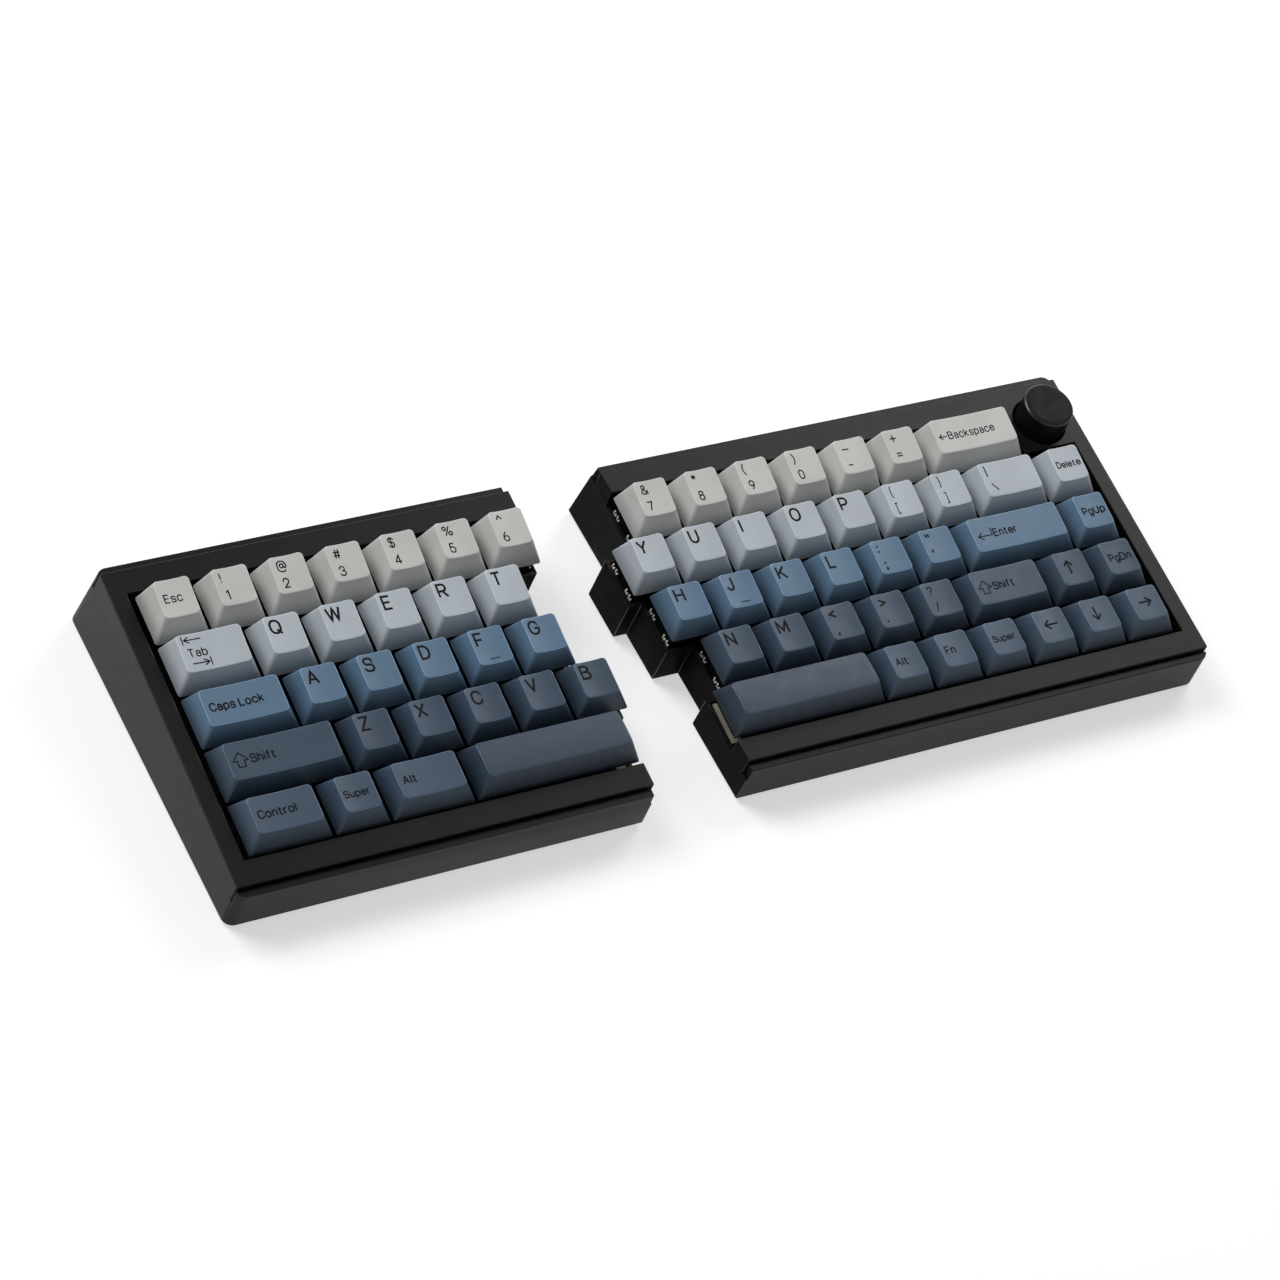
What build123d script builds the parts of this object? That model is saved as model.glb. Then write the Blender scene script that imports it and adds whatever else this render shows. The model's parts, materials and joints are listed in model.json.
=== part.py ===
from build123d import *
from math import atan2, cos, degrees, radians, sin, tan
import os

os.makedirs("parts", exist_ok=True)

# A split keyboard in two free-standing halves. The keys stand on a plane that rises
# towards the back. Heights are measured square to that plane, from the caps' skirts,
# and places on it from the back left corner of the whole key grid.

# Key grid
key_pitch = 19.05
cap_gap = 0.95
key_travel = 4.0
split_gap = 33.5
split_clearance = 0.25

# Widths of the keys, row by row from the back, as shares of the key pitch
left_key_shares = (
    (("key_escape", (1,)), ("keys_1_2_3", (1, 1, 1)), ("keys_4_5_6", (1, 1, 1))),
    (("key_tab", (1.5,)), ("keys_q_w_e", (1, 1, 1)), ("keys_r_t", (1, 1))),
    (("key_caps_lock", (1.75,)), ("keys_a_s_d", (1, 1, 1)), ("keys_f_g", (1, 1))),
    (("key_left_shift", (2.25,)), ("keys_z_x_c", (1, 1, 1)), ("keys_v_b", (1, 1))),
    (("key_control", (1.5,)), ("key_system", (1,)), ("key_alt", (1.5,)), ("key_left_space", (3,))),
)
right_key_shares = (
    (("keys_7_8_9", (1, 1, 1)), ("keys_0_minus_equals", (1, 1, 1)), ("key_backspace", (2,))),
    (
        ("keys_y_u_i", (1, 1, 1)),
        ("keys_o_p", (1, 1)),
        ("keys_brackets", (1, 1)),
        ("key_backslash", (1.5,)),
        ("key_delete", (1,)),
    ),
    (
        ("keys_h_j_k", (1, 1, 1)),
        ("keys_l_semicolon_quote", (1, 1, 1)),
        ("key_enter", (2.25,)),
        ("key_page_up", (1,)),
    ),
    (
        ("keys_n_m", (1, 1)),
        ("keys_comma_period_slash", (1, 1, 1)),
        ("key_right_shift", (1.75,)),
        ("key_arrow_up", (1,)),
        ("key_page_down", (1,)),
    ),
    (
        ("key_right_space", (3,)),
        ("keys_right_modifiers", (1, 1, 1)),
        ("key_arrow_left", (1,)),
        ("key_arrow_down", (1,)),
        ("key_arrow_right", (1,)),
    ),
)
# Where each row is split between the halves, and where the grid ends
split_shares = (7, 6.5, 6.75, 7.25, 7)
grid_width_share = 16
row_count = 5

# Case: outline at the rim, leans of its walls in degrees, and levels below the caps' skirts
key_slope = 5.7
side_bezel = 7.6
back_bezel = 9.2
front_bezel = 8.75
rim_width = 2.5
rim_groove = 0.4
rim_setback = 0.9
rim_top = -0.3
side_lean = 3.5
back_lean = 6.0
front_lean = 1.8
corner_radius = 3.5
foot_height = 1.0
overrun = 5.0

# Top frame
frame_top = 1.5
frame_seat = -5.5
cell_margin = 0.65
side_cell_margin = 1.9
knob_deck_thickness = 3.0
knob_deck_front = 17.0
knob_deck_side_gap = 0.5

# Plate, board and the pockets that hold them
plate_top = -6.5
plate_thickness = 1.5
plate_bearing = 2.0
plate_clearance = 0.15
shelf_level = -9.0
shelf_width = 1.8
split_wall = 1.2
board_drop = 5.0
board_thickness = 1.6
board_clearance = 0.3
floor_thickness = 2.5
board_floor_gap = 1.466
rib_thickness = 2.0
rib_shares = (0.2, 0.5, 0.8)
gasket_width = 2.4
edge_pad_inset = 2.3
edge_pad_front = 2.0
edge_pad_width = 1.4
edge_pad_length = 15.0
edge_pad_foot = 3.6
edge_pad_thickness = 0.8

# Switches: housings and sliders
switch_hole = 14.0
switch_fit = 0.05
flange_width = 15.6
housing_top_width = 10.6
housing_top = 0.1
seam = 0.02
well_width = 5.9
well_depth = 6.5
slider_width = 5.8
slider_drop = 2.2
shoulder = 0.4

# Keycaps: each row's back and front height and how far its top is set in, back and front
cap_wall = 1.3
cap_roof = 1.3
cap_side_inset = 3.3
cap_land = 0.15
dish_depth = 0.5
post_width = 5.6
row_back_heights = (9.5, 8.3, 7.2, 7.0, 7.2)
row_front_heights = (7.8, 6.9, 6.2, 6.3, 6.8)
row_back_insets = (1.5, 1.8, 2.0, 2.2, 2.5)
row_front_insets = (4.2, 3.8, 3.8, 3.5, 3.4)
space_back_height = 7.6
space_front_height = 7.9

# Stabilisers of the wide keys: key widths as shares of the pitch, and the stems' spacings
stabilised_shares = (2, 2.25, 3)
stabiliser_spacings = (23.88, 23.88, 38.1)
stabiliser_width = 6.7
stabiliser_neck_depth = 12.0
stabiliser_foot_top = -4.9
stabiliser_top = -3.9
stabiliser_well_width = 5.0
stabiliser_well_depth = 5.5
stabiliser_slider_width = 4.8
stabiliser_slider_drop = 4.0

# Knob and its encoder
knob_x = 298.0
knob_y = -6.1
knob_radius = 8.85
knob_hole_radius = 9.5
knob_top = 10.9
knob_bottom = -0.5
knob_chamfer = 0.5
knob_roof = 2.0
shaft_radius = 3.0
shaft_fit = 0.05
bushing_radius = 4.5
bushing_height = 4.0
shaft_depth = 8.0
encoder_width = 12.0
encoder_height = 6.0

# Sockets at the back
socket_width = 8.9
socket_height = 3.2
socket_length = 7.4
socket_wall = 0.3
socket_bevel_share = 0.3
socket_tongue = 0.7
socket_tongue_width = 6.7
socket_mouth_depth = 6.4
socket_inset = 0.6
socket_fit = 0.25
socket_bay_width = 15.0
socket_bay_wall = 2.0
link_socket_inset_from_split = 16.0
host_socket_inset_from_split = 44.0

# Feet
foot_width = 9.0
foot_end_margin = 14.0
foot_wall_margin = 19.0

# The plane of the keys, placed so that the pair stands centred on the desk
slope = radians(key_slope)
normal = Vector(0, -sin(slope), cos(slope))
grid_width = grid_width_share * key_pitch
grid_depth = row_count * key_pitch
left_edge = -side_bezel
right_edge = grid_width + side_bezel
frame_front = -grid_depth - front_bezel
frame_back = back_bezel
rim_front = frame_front - rim_groove - rim_width
rim_back = frame_back + rim_groove + rim_width
cell_back = cell_margin
cell_front = -grid_depth - cell_margin
cell_side = side_cell_margin
stabiliser_depth = flange_width
# the board's front edge is its lowest, and stands its gap above the case's floor
board_top = plate_top - board_drop
board_bottom = board_top - board_thickness
board_front = cell_front - plate_bearing + shelf_width + board_clearance
floor_top = foot_height + floor_thickness
grid_height = floor_top + board_floor_gap - board_front * sin(slope) - board_bottom * cos(slope)
back_lean_tan = tan(radians(back_lean))
back_foot_level = (
    foot_height - grid_height - rim_back * sin(slope) - rim_top * back_lean_tan * sin(slope)
) / (cos(slope) - back_lean_tan * sin(slope))
back_foot = rim_back + (rim_top - back_foot_level) * back_lean_tan
foremost = rim_front * cos(slope) - rim_top * sin(slope)
rearmost = back_foot * cos(slope) - back_foot_level * sin(slope)
middle_x = (left_edge + right_edge + split_gap) / 2
middle_y = (foremost + rearmost) / 2
case_depth = rim_top - back_foot_level + overrun


def deck(side, height):
    """Plane parallel to the key plane, at a height above the caps' skirts, on one half."""
    shift = split_gap if side == "right" else 0
    foot = Vector(shift - middle_x, -middle_y, grid_height)
    return Plane(origin=foot + normal * height, x_dir=(1, 0, 0), z_dir=normal)


def half_outline(side, margin, front, back, inset):
    """Corners of one half's outline: its outer side a margin out from the grid, its split side
    stepped row by row and set in from the line where the halves meet."""
    towards_self = -1 if side == "left" else 1
    outer = -margin if side == "left" else grid_width + margin
    edges = [share * key_pitch + towards_self * inset for share in split_shares]
    corners = [(outer, back), (edges[0], back)]
    for row in range(1, row_count):
        steps_left = edges[row] < edges[row - 1]
        shrink = inset if steps_left == (side == "left") else -inset
        line = shrink - row * key_pitch
        corners += [(edges[row - 1], line), (edges[row], line)]
    return corners + [(edges[-1], front), (outer, front)]


def split_edge(side, row, inset):
    """Where one row of a half ends at the split, set in by a distance."""
    towards_self = -1 if side == "left" else 1
    return split_shares[row] * key_pitch + towards_self * inset


def key_places(side):
    """Every key of a half as (node, row, width share, middle x, middle y)."""
    rows = left_key_shares if side == "left" else right_key_shares
    places = []
    for row, groups in enumerate(rows):
        x = 0 if side == "left" else split_shares[row] * key_pitch
        y = -(row + 0.5) * key_pitch
        for node, shares in groups:
            for share in shares:
                places.append((node, row, share, x + share * key_pitch / 2, y))
                x += share * key_pitch
    return places


def stabiliser_offset(share):
    """Half the spacing of a wide key's outer stems, or 0 for a key that has none."""
    if share not in stabilised_shares:
        return 0
    return stabiliser_spacings[stabilised_shares.index(share)] / 2


def write(part, name):
    """Labels a finished piece and writes it."""
    part.label = name
    export_step(part, f"parts/{name}.step")


def leaning_walls(side):
    """Planes of one half's outer, front and back walls, facing out, which lean out below."""
    level = deck(side, 0)
    outer = -side_bezel if side == "left" else grid_width + side_bezel
    outwards = level.x_dir * (-1 if side == "left" else 1)
    walls = (
        (outwards, (outer, 0, frame_top), side_lean),
        (-level.y_dir, (0, rim_front, rim_top), front_lean),
        (level.y_dir, (0, rim_back, rim_top), back_lean),
    )
    return [
        Plane(
            origin=level.from_local_coords(point),
            z_dir=direction * cos(radians(lean)) + level.z_dir * sin(radians(lean)),
        )
        for direction, point, lean in walls
    ]


# Bottom case: a wedge with leaning walls, cut level for the desk, with the rims left standing
# in front of and behind the frame's seat
def bottom_case(side):
    """One half's tray, with its pockets, ribs and socket mouths."""
    outer_wall = 0 if side == "left" else -1
    with BuildPart() as cavity:
        with BuildSketch(deck(side, shelf_level)):
            with BuildLine():
                Polyline(
                    *half_outline(
                        side,
                        cell_side + plate_bearing - shelf_width,
                        cell_front - plate_bearing + shelf_width,
                        cell_back + plate_bearing - shelf_width,
                        split_clearance + split_wall,
                    ),
                    close=True,
                )
            make_face()
        extrude(amount=-case_depth)
        # bays that let the board reach its sockets
        with BuildSketch(deck(side, board_top + socket_height + board_clearance)):
            for x in socket_xs(side):
                with Locations((x, 0)):
                    Rectangle(
                        socket_bay_width,
                        rim_back - socket_bay_wall,
                        align=(Align.CENTER, Align.MIN),
                    )
        extrude(amount=-case_depth)
        split(bisect_by=Plane.XY.offset(floor_top), keep=Keep.TOP)
        # ribs that carry the board stand in the cavity
        with BuildSketch(deck(side, board_bottom)):
            near = min(split_shares) * key_pitch if side == "left" else grid_width
            far = 0 if side == "left" else max(split_shares) * key_pitch
            for share in rib_shares:
                with Locations((far + (near - far) * share, -grid_depth / 2)):
                    Rectangle(rib_thickness, grid_depth + 2 * overrun)
        extrude(amount=-case_depth, mode=Mode.SUBTRACT)
    with BuildPart() as case:
        with BuildSketch(deck(side, rim_top)):
            with BuildLine():
                Polyline(
                    *half_outline(
                        side,
                        side_bezel + case_depth,
                        rim_front - case_depth,
                        rim_back + case_depth,
                        split_clearance,
                    ),
                    close=True,
                )
            make_face()
        extrude(amount=-case_depth)
        for wall in leaning_walls(side):
            split(bisect_by=wall, keep=Keep.BOTTOM)
        split(bisect_by=Plane.XY.offset(foot_height), keep=Keep.TOP)
        corners = case.faces().sort_by(Axis.X)[outer_wall].edges().sort_by(Axis.Y)
        fillet((corners[0], corners[-1]), corner_radius)
        # seat of the frame, open at the side and at the split
        with BuildSketch(deck(side, frame_seat)):
            with Locations((grid_width / 2, (frame_front + frame_back) / 2)):
                Rectangle(2 * grid_width, frame_back - frame_front + 2 * rim_groove)
            with Locations((split_edge(side, 0, 0), rim_back)):
                Rectangle(2 * rim_setback, 2 * (rim_width + rim_groove))
            with Locations((split_edge(side, row_count - 1, 0), rim_front)):
                Rectangle(2 * rim_setback, 2 * (rim_width + rim_groove))
        extrude(amount=rim_top - frame_seat, mode=Mode.SUBTRACT)
        # pocket of the plate
        with BuildSketch(deck(side, shelf_level)):
            with BuildLine():
                Polyline(
                    *half_outline(
                        side,
                        cell_side + plate_bearing,
                        cell_front - plate_bearing,
                        cell_back + plate_bearing,
                        split_clearance + split_wall,
                    ),
                    close=True,
                )
            make_face()
        extrude(amount=frame_seat - shelf_level, mode=Mode.SUBTRACT)
        add(cavity.part, mode=Mode.SUBTRACT)
        # socket mouths through the back wall
        with BuildSketch(socket_plane(side, rim_back - socket_bay_wall - overrun)):
            add(socket_outline(side, -socket_fit))
        extrude(amount=2 * overrun + rim_width, mode=Mode.SUBTRACT)
    return case.part


def socket_xs(side):
    """Middles of a half's sockets along the back wall."""
    inner = split_edge(side, 0, 0)
    if side == "left":
        return [inner - link_socket_inset_from_split]
    return [inner + link_socket_inset_from_split, inner + host_socket_inset_from_split]


def socket_plane(side, y):
    """Plane square to the sockets' axes, looking back, at a distance behind the key grid."""
    middle = deck(side, board_top + socket_height / 2)
    backwards = middle.y_dir
    return Plane(origin=middle.origin + backwards * y, x_dir=(-1, 0, 0), z_dir=backwards)


def socket_outline(side, inset):
    """Every socket's outline on its plane, a bevelled rectangle set in by a distance."""
    width = socket_width - 2 * inset
    height = socket_height - 2 * inset
    with BuildSketch(Plane.XY) as outline:
        with Locations(*[(-x, 0) for x in socket_xs(side)]):
            Rectangle(width, height)
        chamfer(outline.vertices(), height * socket_bevel_share)
    return outline.sketch


def top_frame(side):
    """One half's frame: a bar in front, one behind and one at the outer side."""
    outer_wall = 0 if side == "left" else -1
    with BuildPart() as bars:
        with BuildSketch(deck(side, frame_seat)) as outline:
            left = left_edge - overrun if side == "left" else split_edge(side, 0, split_clearance)
            right = split_edge(side, 0, split_clearance) if side == "left" else right_edge + overrun
            with Locations(((left + right) / 2, (frame_front + frame_back) / 2)):
                Rectangle(right - left, frame_back - frame_front)
            inner = -cell_side if side == "left" else grid_width + cell_side
            open_end = split_edge(side, 0, -overrun)
            with Locations(((inner + open_end) / 2, (cell_front + cell_back) / 2)):
                Rectangle(abs(open_end - inner), cell_back - cell_front, mode=Mode.SUBTRACT)
        extrude(amount=frame_top - frame_seat)
        if side == "right":
            # deck round the knob
            with BuildSketch(deck(side, frame_top)):
                deck_left = (grid_width_share - 1) * key_pitch + knob_deck_side_gap
                with Locations(((deck_left + right) / 2, (frame_back - knob_deck_front) / 2)):
                    Rectangle(right - deck_left, frame_back + knob_deck_front)
            extrude(amount=-knob_deck_thickness)
            with BuildSketch(deck(side, frame_seat)):
                with Locations((knob_x, knob_y)):
                    Circle(knob_hole_radius)
            extrude(amount=frame_top - frame_seat, mode=Mode.SUBTRACT)
        split(bisect_by=leaning_walls(side)[0], keep=Keep.BOTTOM)
        corners = bars.faces().sort_by(Axis.X)[outer_wall].edges().sort_by(Axis.Y)
        fillet((corners[0], corners[-1]), corner_radius - rim_width - rim_groove)
    return bars.part


def switch_plate(side):
    """One half's plate, with a square hole for each switch and slots for the stabilisers."""
    with BuildPart() as plate:
        with BuildSketch(deck(side, plate_top)):
            with BuildLine():
                Polyline(
                    *half_outline(
                        side,
                        cell_side + plate_bearing - plate_clearance,
                        cell_front - plate_bearing + plate_clearance,
                        cell_back + plate_bearing - plate_clearance,
                        split_clearance + split_wall + plate_clearance,
                    ),
                    close=True,
                )
            make_face()
            with Locations(*[(x, y) for _, _, _, x, y in key_places(side)]):
                Rectangle(switch_hole, switch_hole, mode=Mode.SUBTRACT)
            with Locations(*stabiliser_places(side)):
                Rectangle(
                    stabiliser_width + 2 * switch_fit,
                    stabiliser_depth + 2 * switch_fit,
                    mode=Mode.SUBTRACT,
                )
            if side == "right":
                with Locations((knob_x, knob_y)):
                    Rectangle(
                        encoder_width + 2 * board_clearance,
                        encoder_width + 2 * board_clearance,
                        mode=Mode.SUBTRACT,
                    )
        extrude(amount=-plate_thickness)
    return plate.part


def stabiliser_places(side):
    """Middles of a half's stabiliser housings."""
    places = []
    for _, _, share, x, y in key_places(side):
        offset = stabiliser_offset(share)
        if offset:
            places += [(x - offset, y), (x + offset, y)]
    return places


def circuit_board(side):
    """One half's board, with a tongue behind it under each socket."""
    with BuildPart() as board:
        with BuildSketch(deck(side, board_top)):
            with BuildLine():
                Polyline(
                    *half_outline(
                        side,
                        cell_side + plate_bearing - shelf_width - board_clearance,
                        board_front,
                        cell_back + plate_bearing - shelf_width - board_clearance,
                        split_clearance + split_wall + board_clearance,
                    ),
                    close=True,
                )
            make_face()
            for x in socket_xs(side):
                with Locations((x, 0)):
                    Rectangle(
                        socket_bay_width - 2 * board_clearance,
                        rim_back - socket_bay_wall - board_clearance,
                        align=(Align.CENTER, Align.MIN),
                    )
        extrude(amount=-board_thickness)
    return board.part


def switches(side):
    """One half's switch housings: a square base through the plate and a tapered cover on it."""
    spots = [(x, y) for _, _, _, x, y in key_places(side)]
    cover_height = housing_top - plate_top - seam
    with BuildPart() as cover:
        with BuildSketch(Plane.XY.offset(plate_top + seam)):
            Rectangle(flange_width, flange_width)
        lean = degrees(atan2((flange_width - housing_top_width) / 2, cover_height))
        extrude(amount=cover_height, taper=lean)
        # well that the slider and the cap's post sink into
        with BuildSketch(Plane.XY.offset(housing_top)):
            Rectangle(well_width, well_width)
        extrude(amount=-well_depth, mode=Mode.SUBTRACT)
    with BuildPart(deck(side, 0)) as housings:
        with BuildSketch(deck(side, board_top)):
            with Locations(*spots):
                Rectangle(switch_hole - 2 * switch_fit, switch_hole - 2 * switch_fit)
        extrude(amount=board_drop)
        with Locations(*spots):
            add(cover.part)
    return housings.part


def stabilisers(side):
    """One half's stabiliser housings: a foot through the plate to the board, and a shorter neck."""
    with BuildPart() as housings:
        with BuildSketch(deck(side, board_top)):
            with Locations(*stabiliser_places(side)):
                Rectangle(stabiliser_width, stabiliser_depth)
        extrude(amount=stabiliser_foot_top - board_top)
        with BuildSketch(deck(side, stabiliser_foot_top)):
            with Locations(*stabiliser_places(side)):
                Rectangle(stabiliser_width, stabiliser_neck_depth)
        extrude(amount=stabiliser_top - stabiliser_foot_top)
        with BuildSketch(deck(side, stabiliser_top)):
            with Locations(*stabiliser_places(side)):
                Rectangle(stabiliser_well_width, stabiliser_well_width)
        extrude(amount=-stabiliser_well_depth, mode=Mode.SUBTRACT)
    return housings.part


def gaskets(side):
    """Foam strips that clamp a half's plate between the frame and the case's shelf."""
    inwards = 1 if side == "left" else -1
    outer = -cell_side if side == "left" else grid_width + cell_side
    outer -= inwards * (plate_bearing - plate_clearance)
    inner = split_edge(side, 0, split_clearance + split_wall + plate_clearance)
    front = cell_front - plate_bearing + plate_clearance
    back = cell_back + plate_bearing - plate_clearance
    side_align = (Align.MIN if side == "left" else Align.MAX, Align.CENTER)
    upper = (plate_top, frame_seat - plate_top, gasket_width)
    lower = (shelf_level, plate_top - plate_thickness - shelf_level, shelf_width)
    with BuildPart() as strips:
        for level, thickness, width in (upper, lower):
            with BuildSketch(deck(side, level)):
                with Locations(((outer + inner) / 2, front)):
                    Rectangle(abs(inner - outer), width, align=(Align.CENTER, Align.MIN))
                with Locations(((outer + inner) / 2, back)):
                    Rectangle(abs(inner - outer), width, align=(Align.CENTER, Align.MAX))
                with Locations((outer, (front + back) / 2)):
                    Rectangle(width, back - front, align=side_align)
            extrude(amount=thickness)
    return strips.part


def edge_pad(side):
    """The pale L-shaped pad on the plate, under the space bar's end at the split."""
    corner = (split_edge(side, row_count - 1, edge_pad_inset), edge_pad_front - grid_depth)
    pad_align = (Align.MAX if side == "left" else Align.MIN, Align.MIN)
    with BuildPart() as pad:
        with BuildSketch(deck(side, plate_top)):
            with Locations(corner):
                Rectangle(edge_pad_width, edge_pad_length, align=pad_align)
                Rectangle(edge_pad_foot, edge_pad_width, align=pad_align)
        extrude(amount=edge_pad_thickness)
    return pad.part


def sockets(side):
    """One half's sockets: a flat shell with a tongue inside."""
    mouth = rim_back - socket_inset
    with BuildPart() as shells:
        with BuildSketch(socket_plane(side, mouth - socket_length)):
            add(socket_outline(side, 0))
        extrude(amount=socket_length)
        with BuildSketch(socket_plane(side, mouth)):
            add(socket_outline(side, socket_wall))
            with Locations(*[(-x, 0) for x in socket_xs(side)]):
                Rectangle(socket_tongue_width, socket_tongue, mode=Mode.SUBTRACT)
        extrude(amount=-socket_mouth_depth, mode=Mode.SUBTRACT)
    return shells.part


def feet(side):
    """Two rubber strips under one half, one near the front and one near the back."""
    shift = (split_gap if side == "right" else 0) - middle_x
    outer = 0 if side == "left" else grid_width
    lines = (foremost + foot_wall_margin, rearmost - foot_wall_margin)
    with BuildPart() as strips:
        with BuildSketch(Plane.XY.offset(foot_height)):
            for row, line in ((row_count - 1, lines[0]), (0, lines[1])):
                inner = split_edge(side, row, 0)
                with Locations(((outer + inner) / 2 + shift, line - middle_y)):
                    Rectangle(abs(inner - outer) - 2 * foot_end_margin, foot_width)
        extrude(amount=-foot_height)
    return strips.part


def encoder():
    """The knob's encoder: a square body on the board with a round bushing for the shaft."""
    with BuildPart() as body:
        with BuildSketch(deck("right", board_top)):
            with Locations((knob_x, knob_y)):
                Rectangle(encoder_width, encoder_width)
        extrude(amount=encoder_height)
        with BuildSketch(deck("right", board_top + encoder_height)):
            with Locations((knob_x, knob_y)):
                Circle(bushing_radius)
        extrude(amount=bushing_height)
        with BuildSketch(deck("right", board_top + encoder_height + bushing_height)):
            with Locations((knob_x, knob_y)):
                Circle(shaft_radius + shaft_fit)
        extrude(amount=-shaft_depth, mode=Mode.SUBTRACT)
    return body.part


def knob():
    """The knob, hollow below, and the shaft pressed into it, which turns in the encoder."""
    shaft_top = knob_top - knob_roof
    with BuildPart() as turned:
        with BuildSketch(deck("right", knob_bottom)):
            with Locations((knob_x, knob_y)):
                Circle(knob_radius)
        extrude(amount=knob_top - knob_bottom)
        chamfer(turned.edges().group_by(Axis((0, 0, 0), normal))[-1], knob_chamfer)
        with BuildSketch(deck("right", knob_bottom)):
            with Locations((knob_x, knob_y)):
                Circle(shaft_radius + seam)
        extrude(amount=shaft_top + seam - knob_bottom, mode=Mode.SUBTRACT)
        with BuildSketch(deck("right", board_top + encoder_height + bushing_height - shaft_depth + seam)):
            with Locations((knob_x, knob_y)):
                Circle(shaft_radius)
        extrude(amount=shaft_top - board_top - encoder_height - bushing_height + shaft_depth - seam)
    return turned.part


def crossed_profiles(side_points, front_points, width, depth):
    """The solid that two outlines share, one seen from the side and one from the front."""
    with BuildPart() as block:
        with BuildSketch(Plane.YZ):
            with BuildLine():
                Polyline(*side_points, close=True)
            make_face()
        extrude(amount=width / 2, both=True)
        with BuildSketch(Plane.XZ):
            with BuildLine():
                Polyline(*front_points, close=True)
            make_face()
        extrude(amount=depth / 2, both=True, mode=Mode.INTERSECT)
    return block.part


def keycap(row, share):
    """A hollow cap in its own frame, with its skirt on Z = 0 about the origin."""
    width = share * key_pitch - cap_gap
    depth = key_pitch - cap_gap
    is_space = share == max(stabilised_shares)
    back_height = space_back_height if is_space else row_back_heights[row]
    front_height = space_front_height if is_space else row_front_heights[row]
    middle_height = (back_height + front_height) / 2
    top_back = depth / 2 - row_back_insets[row]
    top_front = row_front_insets[row] - depth / 2
    ceiling = min(back_height, front_height) - dish_depth - cap_roof
    shrink = ceiling / middle_height
    offset = stabiliser_offset(share)
    posts = [(0, 0), (-offset, 0), (offset, 0)] if offset else [(0, 0)]
    hollow = crossed_profiles(
        (
            (cap_wall - depth / 2, 0),
            (depth / 2 - cap_wall, 0),
            (depth / 2 - cap_wall - row_back_insets[row] * shrink, ceiling),
            (cap_wall - depth / 2 + row_front_insets[row] * shrink, ceiling),
        ),
        (
            (cap_wall - width / 2, 0),
            (width / 2 - cap_wall, 0),
            (width / 2 - cap_wall - cap_side_inset * shrink, ceiling),
            (cap_wall - width / 2 + cap_side_inset * shrink, ceiling),
        ),
        width,
        depth,
    )
    shell = crossed_profiles(
        (
            (-depth / 2, 0),
            (depth / 2, 0),
            (top_back, back_height),
            (top_front, front_height),
        ),
        (
            (-width / 2, 0),
            (width / 2, 0),
            (width / 2 - 2 * cap_side_inset, 2 * middle_height),
            (2 * cap_side_inset - width / 2, 2 * middle_height),
        ),
        width,
        depth,
    )
    with BuildPart() as cap:
        add(shell)
        # finger dish, a shallow cylinder along the top's slope
        if not is_space:
            narrowest = width - 2 * cap_side_inset * max(back_height, front_height) / middle_height
            dish_width = narrowest - 2 * cap_land
            dish_radius = (dish_width**2 / 4 + dish_depth**2) / (2 * dish_depth)
            rise = atan2(back_height - front_height, top_back - top_front)
            up = Vector(0, -sin(rise), cos(rise))
            centre = Vector(0, (top_back + top_front) / 2, middle_height)
            centre += up * (dish_radius - dish_depth)
            with BuildSketch(Plane(origin=centre, x_dir=(1, 0, 0), z_dir=(0, cos(rise), sin(rise)))):
                Circle(dish_radius)
            extrude(amount=depth, both=True, mode=Mode.SUBTRACT)
        add(hollow, mode=Mode.SUBTRACT)
        # square posts that stand on the sliders
        with BuildSketch(Plane.XY.offset(shoulder)):
            with Locations(*posts):
                Rectangle(post_width, post_width)
        extrude(amount=ceiling - shoulder)
    return cap.part


def slider(width, drop):
    """The block of a switch or stabiliser that a cap's post stands on."""
    with BuildPart() as block:
        with BuildSketch(Plane.XY.offset(-drop)):
            Rectangle(width, width)
        extrude(amount=drop + shoulder - seam)
    return block.part


def keys(side):
    """Writes one half's keys: each cap with the sliders pressed into it."""
    main_slider = slider(slider_width, slider_drop)
    outer_slider = slider(stabiliser_slider_width, stabiliser_slider_drop)
    caps = {}
    nodes = {}
    for node, row, share, x, y in key_places(side):
        nodes.setdefault(node, []).append((row, share, x, y))
        if (row, share) not in caps:
            caps[row, share] = keycap(row, share)
    for node, members in nodes.items():
        with BuildPart(deck(side, 0)) as group:
            for row, share, x, y in members:
                offset = stabiliser_offset(share)
                with Locations((x, y)):
                    add(caps[row, share])
                    add(main_slider)
                if offset:
                    with Locations((x - offset, y), (x + offset, y)):
                        add(outer_slider)
        write(group.part, node)


for half in ("left", "right"):
    write(bottom_case(half), f"{half}_bottom_case")
    write(top_frame(half), f"{half}_top_frame")
    write(switch_plate(half), f"{half}_switch_plate")
    write(circuit_board(half), f"{half}_circuit_board")
    write(switches(half), f"{half}_switches")
    write(stabilisers(half), f"{half}_stabilisers")
    write(gaskets(half), f"{half}_gaskets")
    write(edge_pad(half), f"{half}_edge_pad")
    write(sockets(half), f"{half}_sockets")
    write(feet(half), f"{half}_feet")
    keys(half)
write(encoder(), "knob_encoder")
write(knob(), "volume_knob")
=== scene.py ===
"""Looks of the ergonomic split keyboard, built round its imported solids.

Lengths are in millimetres on each half's key plane: x along the rows, y towards the back
and z square to the plane, from the caps' skirts. Deck.place turns them into metres.
"""

import json
import logging
import math
from dataclasses import dataclass, replace
from enum import Enum

import bmesh
import bpy
import numpy as np
from mathutils import Matrix, Vector

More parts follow.
